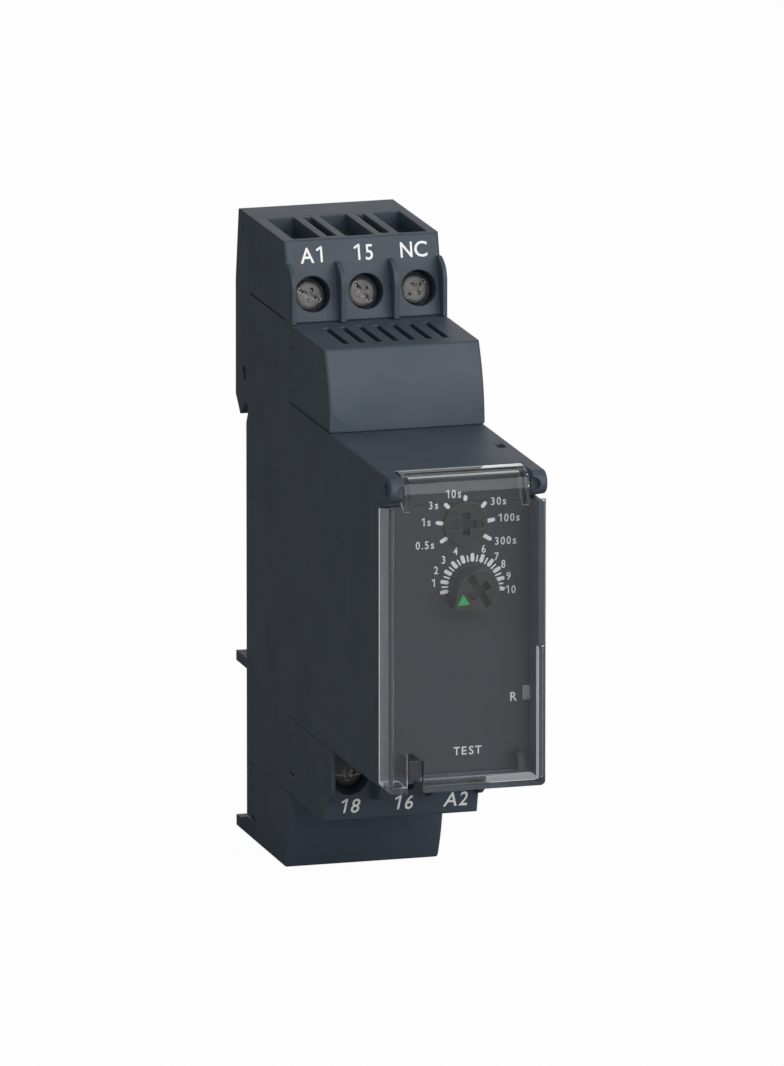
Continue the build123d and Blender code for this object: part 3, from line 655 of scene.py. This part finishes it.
def turned(profile: list[Point2], steps: int) -> Piece:
    """Spin a half profile round the Z axis into a closed solid.

    Args:
        profile: (radius, height) points in millimetres; the first and last lie on the axis.
        steps: Facets round the axis.

    Returns:
        The solid, at the origin.
    """
    deselect()
    bpy.ops.mesh.primitive_plane_add(size=MM)
    piece = bpy.context.active_object
    bpy.ops.object.mode_set(mode="EDIT")
    bpy.ops.mesh.merge(type="CENTER")
    bpy.ops.transform.translate(value=(profile[0][0] * MM, 0, profile[0][1] * MM))
    for (r0, z0), (r1, z1) in zip(profile, profile[1:]):
        bpy.ops.mesh.extrude_region_move(
            TRANSFORM_OT_translate={"value": ((r1 - r0) * MM, 0, (z1 - z0) * MM)})
    bpy.ops.mesh.select_all(action="SELECT")
    bpy.ops.mesh.spin(steps=steps, angle=math.tau, center=(0, 0, 0), axis=(0, 0, 1))
    bpy.ops.mesh.select_all(action="SELECT")
    bpy.ops.mesh.remove_doubles(threshold=WELD)
    bpy.ops.mesh.dissolve_degenerate(threshold=SLIVER)
    bpy.ops.mesh.normals_make_consistent(inside=False)
    bpy.ops.object.mode_set(mode="OBJECT")
    return piece


def block(low: Vector | Point3, high: Vector | Point3) -> Piece:
    """Make a block between two corners.

    Args:
        low: Lowest corner in metres.
        high: Highest corner.

    Returns:
        The block, with its place and size in its matrix.
    """
    deselect()
    middle = [(a + b) / 2 for a, b in zip(low, high)]
    bpy.ops.mesh.primitive_cube_add(size=1.0, location=middle, scale=[b - a for a, b in zip(low, high)])
    return bpy.context.active_object


def cut(piece: Piece, tool: Piece) -> None:
    """Take one solid out of another and delete the tool.

    Args:
        piece: The solid to cut.
        tool: The solid to take out.
    """
    apply_modifier(piece, "BOOLEAN", operation="DIFFERENCE", object=tool, solver="EXACT")
    bpy.data.objects.remove(tool)


# Step width of a sign and its squeeze, as shares of the capitals' height
DIGIT_WIDTH: Point2 = (0.76, 0.86)
SIGN_WIDTH: dict[str, Point2] = {
    "A": (0.88, 0.92), "C": (0.94, 0.95), "E": (0.88, 1.0), "N": (0.92, 0.86), "R": (0.93, 0.97),
    "S": (0.88, 1.0), "T": (0.83, 0.95), "s": (0.7, 0.96), ".": (0.39, 0.9),
}


@dataclass
class Face:
    """A flat face of the part that carries print, facing the operator."""

    origin: Point3
    tilt: float = 0.0
    lift: float = 0.012
    film: float = 0.012

    def place(self) -> Matrix:
        """Matrix from the face's own plane to the frame."""
        turn = Matrix.Rotation(math.radians(90.0 + self.tilt), 4, "X")
        spot = Matrix.Translation(Vector(self.origin) * MM)
        return spot @ turn @ Matrix.Translation((0, 0, self.lift * MM))


@dataclass
class Printer:
    """Prints words and strokes on a face as thin closed films of ink."""

    face: Face
    # Capitals' height in the font, and stroke and added boldness as shares of that height
    cap_share: float = 0.729
    stroke_share: float = 0.14
    boldness: float = 0.014
    slant: float = 0.0
    # The figure 1: shift of its stem, reach, drop and top of its flag, as shares of its height
    stem_shift: float = 0.1
    flag_reach: float = 0.32
    flag_drop: float = 0.26
    flag_top: float = 0.04
    flag_lean: float = 0.3
    stem_spare: float = 0.02
    shortest_run: float = 0.01
    pieces: list[Piece] = field(default_factory=list)

    def figure_one(self, at: Point2, cap_height: float) -> None:
        """Print a 1 from two strokes, without a foot.

        Args:
            at: Middle of its base line on the face, in millimetres.
            cap_height: Height of a capital.
        """
        lean = self.slant * cap_height
        wide = self.stroke_share * cap_height
        stem = at[0] + self.stem_shift * cap_height
        top = at[1] + cap_height
        self.stroke((stem - lean / 2, at[1] - self.stem_spare),
                    (stem + lean / 2, top + self.stem_spare), wide)
        self.stroke((stem + self.flag_lean * lean - self.flag_reach * cap_height,
                     top - self.flag_drop * cap_height),
                    (stem + lean / 2, top - self.flag_top * cap_height), wide)

    def letter(self, sign: str, at: Point2, cap_height: float, squeeze: float) -> None:
        """Print one letter or digit.

        Args:
            sign: The letter.
            at: Middle of its base line on the face, in millimetres.
            cap_height: Height of a capital.
            squeeze: Width share.
        """
        if sign == "1":
            self.figure_one(at, cap_height)
            return
        lean = self.slant * cap_height
        deselect()
        bpy.ops.object.text_add(location=(0, 0, 0))
        piece = bpy.context.active_object
        curve = piece.data
        curve.body = sign
        curve.size = cap_height * MM / self.cap_share
        curve.align_x = "CENTER"
        curve.resolution_u = 4
        curve.offset = self.boldness * cap_height * MM
        curve.extrude = self.face.film * MM / 2
        curve.shear = self.slant
        bpy.ops.object.convert(target="MESH")
        spot = Matrix.Translation(((at[0] - lean / 2) * MM, at[1] * MM, 0))
        piece.matrix_world = self.face.place() @ spot @ Matrix.Diagonal((squeeze, 1, 1, 1))
        self.pieces.append(settle(piece))

    def word(self, text: str, at: Point2, cap_height: float) -> None:
        """Print one word.

        Args:
            text: The letters.
            at: Centre on the face, in millimetres.
            cap_height: Height of a capital, in millimetres.
        """
        widths = [SIGN_WIDTH.get(sign, DIGIT_WIDTH) for sign in text]
        run = at[0] - sum(width for width, _ in widths) * cap_height / 2
        for sign, (width, squeeze) in zip(text, widths):
            self.letter(sign, (run + width * cap_height / 2, at[1] - cap_height / 2), cap_height, squeeze)
            run += width * cap_height

    def stroke(self, start: Point2, end: Point2, width: float, segments: int = 16) -> None:
        """Print one stroke with round ends.

        Args:
            start: First point on the face, in millimetres.
            end: Last point.
            width: Stroke width.
            segments: Points of the full end circle.
        """
        run = Vector((end[0] - start[0], end[1] - start[1]))
        length = max(run.length - width, self.shortest_run)
        deselect()
        bpy.ops.mesh.primitive_circle_add(vertices=segments, radius=width / 2 * MM, fill_type="NGON")
        piece = bpy.context.active_object
        bpy.ops.object.mode_set(mode="EDIT")
        bpy.ops.mesh.select_all(action="DESELECT")
        bpy.ops.object.mode_set(mode="OBJECT")
        for vertex in piece.data.vertices:
            vertex.select = vertex.co.x > NOTHING
        bpy.ops.object.mode_set(mode="EDIT")
        bpy.ops.transform.translate(value=(length * MM, 0, 0))
        bpy.ops.mesh.select_all(action="SELECT")
        bpy.ops.mesh.extrude_region_move(TRANSFORM_OT_translate={"value": (0, 0, self.face.film * MM)})
        bpy.ops.mesh.select_all(action="SELECT")
        bpy.ops.mesh.normals_make_consistent(inside=False)
        bpy.ops.object.mode_set(mode="OBJECT")
        inner = Vector(start) + run.normalized() * width / 2
        turn = Matrix.Rotation(math.atan2(run.y, run.x), 4, "Z")
        piece.matrix_world = self.face.place() @ Matrix.Translation((inner.x * MM, inner.y * MM, 0)) @ turn
        self.pieces.append(settle(piece))

    def finish(self) -> Piece:
        """Join all that was printed."""
        return join(self.pieces)


@dataclass
class CaseWork:
    """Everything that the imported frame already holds, dressed by its record's slots."""

    workshop: Workshop

    def build(self) -> None:
        """Dress each CAD node with the finish of its slot."""
        slots = {s["node"]: s["material_slot"] for s in frame["record"]["subparts"]}
        for name, node in frame["nodes"].items():
            self.workshop.dress(node, SLOT_FINISH[slots[name]])
            log.info("dressed %s with %s", name, slots[name])


@dataclass
class CoverWork:
    """Clear cover with the soft moulded edges that draw its bright outline."""

    workshop: Workshop
    # Walls, and the height where the stiff left wall ends
    wall: float = 0.8
    stiff_wall: float = 1.3
    stiff_end: float = -2.6
    edge_round: float = 0.13
    merge: float = 0.001
    # The tool that thins the left wall: what it cuts past, and what it leaves at the hood
    tool_spare: float = 0.02
    foot_spare: float = 0.1
    head_wall: float = 4.0
    # Degrees: taken as flat, rounded above, shaded smooth below
    flat_angle: float = 1.0
    edge_angle: float = 35.0
    smooth_angle: float = 32.0

    def thin_left_wall(self, piece: Piece) -> None:
        """Take the left wall's upper part down to the plain wall.

        Args:
            piece: The cover's shell.
        """
        low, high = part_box("clear_cover")
        near = low[0] + self.wall * MM
        far = low[0] + (self.stiff_wall + self.tool_spare) * MM
        front, back = low[1] + self.wall * MM, high[1] + MM
        foot, top = self.stiff_end * MM - self.foot_spare * MM, high[2] - self.head_wall * MM
        cut(piece, block((near, front, foot), (far, back, top)))

    def build(self) -> None:
        """Copy the CAD cover, clean its mesh, round its edges and put it in the cover's place."""
        piece = add_object("cover_shell", frame["nodes"]["clear_cover"].data.copy())
        pick(piece)
        bpy.ops.object.mode_set(mode="EDIT")
        bpy.ops.mesh.select_all(action="SELECT")
        bpy.ops.mesh.remove_doubles(threshold=self.merge * MM)
        bpy.ops.mesh.dissolve_limited(angle_limit=math.radians(self.flat_angle))
        bpy.ops.object.mode_set(mode="OBJECT")
        self.thin_left_wall(piece)
        apply_modifier(piece, "BEVEL", width=self.edge_round * MM, segments=2, limit_method="ANGLE",
                       angle_limit=math.radians(self.edge_angle), use_clamp_overlap=True)
        pick(piece)
        bpy.ops.object.shade_smooth_by_angle(angle=math.radians(self.smooth_angle))
        apply_modifier(piece, "WEIGHTED_NORMAL", keep_sharp=True)
        self.workshop.deliver(piece, "cover_shell", "cover", CLEAR, "clear_plastic")
        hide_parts("clear_cover")


@dataclass
class HoodField:
    """The panel's dark tone carried up the housing's front between the hinge ears."""

    workshop: Workshop
    side_gap: float = 0.12
    foot: float = 17.6
    head: float = 21.4
    ear_in: float = 9.2
    film: float = 0.008

    def build(self) -> None:
        """Lay the thin field over the housing's front face."""
        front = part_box("light_window")[0][1]
        half = (self.ear_in - self.side_gap) * MM
        piece = settle(block((-half, front - self.film * MM, self.foot * MM), (half, front, self.head * MM)))
        self.workshop.deliver(piece, "hood_field", "housing", PANEL, "panel_plastic")


@dataclass
class TerminalMarks:
    """Terminal marks printed on the two sloped faces."""

    workshop: Workshop
    cap_height: float = 2.25
    # Middle mark's place across, step between marks, distance from the face's outer edge
    upper_row: Point3 = (0.13, 7.3, 2.02)
    lower_row: Point3 = (0.33, 7.8, 2.27)
    lower_slant: float = 0.14

    def row(self, name: str, words: tuple[str, ...], edge: Point2, spots: Point3, sign: int) -> None:
        """Print one row of marks.

        Args:
            name: Piece name.
            words: The marks from left to right.
            edge: (y, z) of the face's outer edge.
            spots: Middle, step and distance of the marks.
            sign: 1 for the upper face, -1 for the lower one.
        """
        middle, pitch, drop = spots
        run = drop * math.tan(math.radians(TERMINAL_SLOPE))
        face = Face((middle, edge[0] - run, edge[1] - sign * drop), -sign * TERMINAL_SLOPE)
        printer = Printer(face, slant=self.lower_slant if sign < 0 else 0.0)
        for index, text in enumerate(words):
            printer.word(text, ((index - 1) * pitch, 0.0), self.cap_height)
        self.workshop.deliver(printer.finish(), name, "housing", WHITE_INK)

    def build(self) -> None:
        """Print both rows."""
        self.row("upper_terminal_marks", ("A1", "15", "NC"), UPPER_EDGE, self.upper_row, 1)
        self.row("lower_terminal_marks", ("18", "16", "A2"), LOWER_EDGE, self.lower_row, -1)


@dataclass
class DialMarks:
    """Scales and words printed on the front panel."""

    workshop: Workshop
    panel_y: float = field(default_factory=lambda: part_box("light_window")[0][1] / MM)
    time_at: Point2 = (2.14, 5.58)
    stroke_wide: float = 0.57
    stroke_thin: float = 0.24
    text_height: float = 1.12
    # Degrees between strokes, steps on either side of the middle, and the strokes' ends
    half_step: float = 9.83
    half_count: int = 10
    inner_radius: float = 3.45
    thin_radius: float = 4.45
    wide_radius: float = 4.7

    range_strokes: tuple[tuple[Point2, Point2], ...] = (
        ((-1.43, 12.67), (-2.51, 12.03)), ((-2.01, 14.68), (-3.15, 14.87)),
        ((-1.15, 16.75), (-1.87, 17.5)), ((1.12, 17.66), (1.12, 18.51)),
        ((3.44, 16.6), (4.09, 17.41)), ((4.16, 14.64), (5.38, 14.85)), ((3.59, 12.77), (4.88, 11.98)))
    range_words: tuple[tuple[str, Point2], ...] = (
        ("0.5s", (-4.66, 11.81)), ("1s", (-4.52, 15.05)), ("3s", (-3.44, 17.38)), ("10s", (-0.58, 18.76)),
        ("30s", (5.88, 17.43)), ("100s", (7.39, 15.01)), ("300s", (6.89, 11.78)))
    time_words: tuple[tuple[str, Point2], ...] = (
        ("1", (-3.44, 6.36)), ("2", (-3.08, 8.17)), ("3", (-2.0, 9.59)), ("4", (-0.28, 10.68)),
        ("6", (3.74, 10.78)), ("7", (5.6, 9.6)), ("8", (6.57, 8.48)), ("9", (7.33, 6.73)),
        ("10", (7.62, 4.8)))
    lone_words: tuple[tuple[str, Point2, float], ...] = (
        ("R", (8.0, -10.4), 1.3), ("TEST", (1.46, -17.64), 1.2))

    def printer(self) -> Printer:
        """Make a printer for the panel plane."""
        return Printer(Face((0.0, self.panel_y, 0.0)))

    def range_scale(self) -> None:
        """Print the seven ranges."""
        printer = self.printer()
        for start, end in self.range_strokes:
            printer.stroke(start, end, self.stroke_wide)
        for text, at in self.range_words:
            printer.word(text, at, self.text_height)
        self.workshop.deliver(printer.finish(), "range_scale_print", "housing", WHITE_INK)

    def time_scale(self) -> None:
        """Print the strokes and numbers of the time dial."""
        printer = self.printer()
        for index in range(-self.half_count, self.half_count + 1):
            turn = math.radians(index * self.half_step)
            wide = index % 2 == 0
            outer = self.wide_radius if wide else self.thin_radius
            width = self.stroke_wide if wide else self.stroke_thin
            ends = [(self.time_at[0] + r * math.sin(turn), self.time_at[1] + r * math.cos(turn))
                    for r in (self.inner_radius, outer)]
            printer.stroke(ends[0], ends[1], width)
        for text, at in self.time_words:
            printer.word(text, at, self.text_height)
        self.workshop.deliver(printer.finish(), "time_scale_print", "housing", WHITE_INK)

    def letters(self) -> None:
        """Print the lamp's letter and the plain word over the sealing lug."""
        printer = self.printer()
        for text, at, height in self.lone_words:
            printer.word(text, at, height)
        self.workshop.deliver(printer.finish(), "panel_letters", "housing", WHITE_INK)

    def build(self) -> None:
        """Print everything on the panel."""
        self.range_scale()
        self.time_scale()
        self.letters()


@dataclass
class PointerMark:
    """Green triangle printed on the time dial's pointer."""

    workshop: Workshop
    face_y: float = field(default_factory=lambda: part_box("time_knob")[0][1] / MM)
    centre: Point2 = (-0.12, 4.25)
    radius: float = 1.02
    turn: float = 94.0
    film: float = 0.02
    lift: float = 0.015
    corner: float = 0.12
    corner_angle: float = 100.0

    def build(self) -> None:
        """Make the triangle as a thin film on the dial face."""
        deselect()
        bpy.ops.mesh.primitive_cylinder_add(vertices=3, radius=self.radius * MM, depth=self.film * MM)
        piece = bpy.context.active_object
        face = Face((self.centre[0], self.face_y, self.centre[1]), lift=self.lift)
        piece.matrix_world = face.place() @ Matrix.Rotation(math.radians(self.turn - 90.0), 4, "Z")
        settle(piece)
        apply_modifier(piece, "BEVEL", width=self.corner * MM, segments=2, affect="EDGES",
                       limit_method="ANGLE", angle_limit=math.radians(self.corner_angle))
        self.workshop.deliver(piece, "pointer_triangle", "time_dial", GREEN_INK, "dial_plastic")


@dataclass
class ClampScrew:
    """Terminal screw with a combined recess, turned as it was last left."""

    workshop: Workshop
    label: str
    column: int
    sign: int
    turn: float
    head_radius: float = 2.05
    head_depth: float = 1.75
    head_thick: float = 1.35
    shank_radius: float = 1.5
    shank_length: float = 4.6
    thread_pitch: float = 0.5
    # Head's rim from the dome down: (step in from the radius, step down from the top)
    dome: tuple[Point2, ...] = ((0.55, 0.01), (0.22, 0.05), (0.07, 0.13), (0.0, 0.3))
    head_chamfer: float = 0.1
    neck_step: float = 0.2
    root_step: float = 0.25
    crest_step: float = 0.02
    tip_step: float = 0.5
    tip_length: float = 0.3
    facets: int = 48
    edge_round: float = 0.045
    edge_angle: float = 40.0
    smooth_angle: float = 30.0
    taper: float = 0.62
    # Bars of the recess: (length, width, depth), turn in degrees
    bars: tuple[tuple[Point3, float], ...] = (
        ((4.4, 0.66, 0.3), 0.0), ((2.7, 0.66, 0.5), 0.0), ((2.7, 0.66, 0.5), 90.0),
        ((1.9, 0.3, 0.2), 45.0), ((1.9, 0.3, 0.2), 135.0), ((1.1, 1.1, 0.45), 45.0))
    # The screws' places: step across, middle one's place, distance from the face's outer edge
    pitch: float = 7.7
    middle: float = 0.1
    upper_drop: float = 7.35
    lower_drop: float = 6.35

    def seat(self) -> Matrix:
        """Matrix of the screw's own frame: Z runs into the block, origin on the sloped face."""
        edge, top = LOWER_EDGE if self.sign < 0 else UPPER_EDGE
        drop = self.lower_drop if self.sign < 0 else self.upper_drop
        run = drop * math.tan(math.radians(TERMINAL_SLOPE))
        spot = Vector((self.middle + self.column * self.pitch, edge - run, top - self.sign * drop)) * MM
        turn = Matrix.Rotation(math.radians(-90.0 - self.sign * TERMINAL_SLOPE), 4, "X")
        return Matrix.Translation(spot) @ turn

    def profile(self) -> list[Point2]:
        """Half profile: domed head, neck and rolled thread."""
        top, under = self.head_depth, self.head_depth + self.head_thick
        radius, shank = self.head_radius, self.shank_radius
        points = [(0.0, top)] + [(radius - inward, top + down) for inward, down in self.dome]
        points += [(radius, under - self.head_chamfer), (radius - self.head_chamfer, under),
                   (shank - self.neck_step, under)]
        z = under + self.head_chamfer
        while z < under + self.shank_length - 2 * self.tip_length:
            points += [(shank - self.root_step, z), (shank - self.crest_step, z + self.thread_pitch / 2)]
            z += self.thread_pitch
        points += [(shank - self.root_step, z), (shank - self.tip_step, z + self.tip_length),
                   (0.0, z + self.tip_length)]
        return points

    def recess(self, size: Point3, angle: float) -> Piece:
        """One bar of the recess.

        Args:
            size: Length, width and depth.
            angle: Turn round the screw in degrees.

        Returns:
            The cutting block, tapered towards its floor.
        """
        deselect()
        bpy.ops.mesh.primitive_cube_add(size=MM, location=(0, 0, self.head_depth * MM))
        tool = bpy.context.active_object
        tool.scale = (size[0], size[1], 2 * size[2])
        bpy.ops.object.transform_apply(location=True, rotation=False, scale=True)
        tool.rotation_euler.z = math.radians(angle)
        bpy.ops.object.transform_apply(location=False, rotation=True, scale=False)
        bpy.ops.object.mode_set(mode="EDIT")
        bpy.ops.mesh.select_all(action="DESELECT")
        bpy.ops.object.mode_set(mode="OBJECT")
        for face in tool.data.polygons:
            face.select = face.normal.z > FACES_UP
        bpy.ops.object.mode_set(mode="EDIT")
        bpy.ops.transform.resize(value=(self.taper, self.taper, 1.0))
        bpy.ops.object.mode_set(mode="OBJECT")
        return tool

    def build(self) -> None:
        """Turn the screw, cut its recess and put it in place of the CAD screw."""
        piece = turned(self.profile(), self.facets)
        for size, angle in self.bars:
            cut(piece, self.recess(size, angle))
        apply_modifier(piece, "BEVEL", width=self.edge_round * MM, segments=2, limit_method="ANGLE",
                       angle_limit=math.radians(self.edge_angle), use_clamp_overlap=True)
        piece.matrix_world = self.seat() @ Matrix.Rotation(math.radians(self.turn), 4, "Z")
        settle(piece)
        bpy.ops.object.shade_smooth_by_angle(angle=math.radians(self.smooth_angle))
        self.workshop.deliver(piece, f"clamp_screw_{self.label}", f"screw_{self.label}", SCREW, "screw_steel")
        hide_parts(f"terminal_screw_{self.label}")


@dataclass
class Studio:
    """Pale floor, soft lamps and the camera of the photograph."""

    camera_at: Point3 = (-720.6, -2551.3, 607.3)
    look_at: Point3 = (10.876, 2.65, -3.1)
    lens: float = 650.3
    sensor: float = 36.0
    # Nearest and furthest thing that the camera draws, in metres
    clip: Point2 = (0.05, 50.0)
    floor_size: float = 16000.0
    floor_tone: str = "#8f8f8f"
    ambient: float = 0.16
    # Gloss on the relay that the floor in front shows in full from this far out, in metres
    gloss_share: float = 0.18
    gloss_reach: float = 0.15
    # White seen through the cover, white of the floor's own glow, and the scatterings that end both
    cover_share: float = 0.42
    white_share: float = 0.965
    first_bounce: float = 0.5
    # Name, direction from the relay, distance and side in metres, and level
    lamps: tuple[tuple[str, Point3, float, float, float], ...] = (
        ("key_lamp", (0.35, -0.8, 0.46), 1.8, 2.0, 1.06),
        ("fill_lamp", (-0.8, -0.5, 0.33), 1.5, 0.9, 0.215),
        ("back_lamp", (0.3, 0.45, 0.84), 1.6, 0.8, 0.08),
        ("rear_lamp", (0.3, 0.95, 0.0), 1.6, 1.0, 0.22))

    def camera(self) -> None:
        """Set the camera at the photograph's viewing angle."""
        data = bpy.data.cameras.new("photo_camera")
        data.lens = self.lens
        data.sensor_width = self.sensor
        data.clip_start, data.clip_end = self.clip
        camera = add_object("photo_camera", data)
        spot, aim = Vector(self.camera_at) * MM, Vector(self.look_at) * MM
        camera.location = spot
        camera.rotation_euler = (aim - spot).to_track_quat("-Z", "Y").to_euler()
        bpy.context.scene.camera = camera

    def lamp(self, name: str, toward: Point3, distance: float, size: float, level: float) -> None:
        """Add one soft square lamp aimed at the relay.

        Args:
            name: Lamp name.
            toward: Direction from the relay to the lamp.
            distance: Distance in metres.
            size: Side in metres.
            level: Light on a surface square to it, where 1 shows a colour as written.
        """
        data = bpy.data.lights.new(name, "AREA")
        data.shape = "SQUARE"
        data.size = size
        data.energy = level * (math.pi * distance) ** 2
        lamp = add_object(name, data)
        lamp.location = Vector(toward).normalized() * distance
        lamp.rotation_euler = (-lamp.location).to_track_quat("-Z", "Y").to_euler()
        lamp.visible_transmission = False

    def seen_white(self, tree: Tree, gloss: Socket | float) -> Socket:
        """Share of the white background that a ray sees.

        Args:
            tree: Node tree.
            gloss: Share that gloss on the relay shows.

        Returns:
            The share: 1 for the camera, dimmed for light through the cover.
        """
        rays = add_node(tree, "LightPath").outputs
        unscattered = calculate(tree, "LESS_THAN", rays["Diffuse Depth"], self.first_bounce)
        dimmed = calculate(tree, "MULTIPLY", unscattered, self.cover_share)
        through = calculate(tree, "MULTIPLY", rays["Is Transmission Ray"], dimmed)
        direct = calculate(tree, "MAXIMUM", rays["Is Camera Ray"], through)
        glossy = calculate(tree, "MULTIPLY", rays["Is Glossy Ray"], gloss)
        return calculate(tree, "MAXIMUM", direct, glossy)

    def floor(self) -> None:
        """Lay a floor that shows white, keeps the shadow and throws little light back."""
        deselect()
        bpy.ops.mesh.primitive_plane_add(size=self.floor_size * MM, location=(0, 0, CAD_LOW[2]))
        piece = bpy.context.active_object
        piece.name = "pale_floor"
        made = bpy.data.materials.new("white_painted_floor")
        tree = empty_tree(made)
        place = add_node(tree, "SeparateXYZ", None, {0: Finish.object_point(tree)})
        front = add_node(tree, "MapRange",
                         {"in:From Min": 0.0, "in:From Max": -self.gloss_reach, "in:To Min": 0.0,
                          "in:To Max": self.gloss_share}, {"Value": place.outputs["Y"]})
        seen = self.seen_white(tree, front.outputs["Result"])
        tone = blend_colours(tree, seen, self.floor_tone, "#ffffff")
        paint = add_node(tree, "BsdfDiffuse", None, {"Color": tone})
        glow = add_node(tree, "Emission", {"in:Color": WHITE, "in:Strength": 1.0})
        blend = add_node(tree, "MixShader", None,
                         {0: calculate(tree, "MULTIPLY", seen, self.white_share),
                          1: paint.outputs["BSDF"], 2: glow.outputs["Emission"]})
        add_node(tree, "OutputMaterial", None, {"Surface": blend.outputs["Shader"]})
        piece.data.materials.append(made)

    def world(self) -> None:
        """White surround to the eye, a dim room to the relay's surfaces."""
        made = bpy.data.worlds.new("soft_surround")
        tree = empty_tree(made)
        room = add_node(tree, "Background", {"in:Color": WHITE, "in:Strength": self.ambient})
        white = add_node(tree, "Background", {"in:Color": WHITE, "in:Strength": 1.0})
        blend = add_node(tree, "MixShader", None,
                         {0: self.seen_white(tree, 0.0), 1: room.outputs["Background"],
                          2: white.outputs["Background"]})
        add_node(tree, "OutputWorld", None, {"Surface": blend.outputs["Shader"]})
        bpy.context.scene.world = made

    def build(self) -> None:
        """Set up floor, lamps, surround and camera."""
        self.floor()
        self.world()
        for name, toward, distance, size, level in self.lamps:
            self.lamp(name, toward, distance, size, level)
        self.camera()
        bpy.context.scene.view_settings.view_transform = "Standard"


def main() -> None:
    """Build the looks in order and report each piece."""
    logging.basicConfig(level=logging.INFO, format="%(name)s: %(message)s")
    workshop = Workshop()
    CaseWork(workshop).build()
    CoverWork(workshop).build()
    HoodField(workshop).build()
    TerminalMarks(workshop).build()
    DialMarks(workshop).build()
    PointerMark(workshop).build()
    for label, column, sign, turn in SCREWS:
        ClampScrew(workshop, label, column, sign, turn).build()
    Studio().build()


if __name__ == "__main__":
    main()
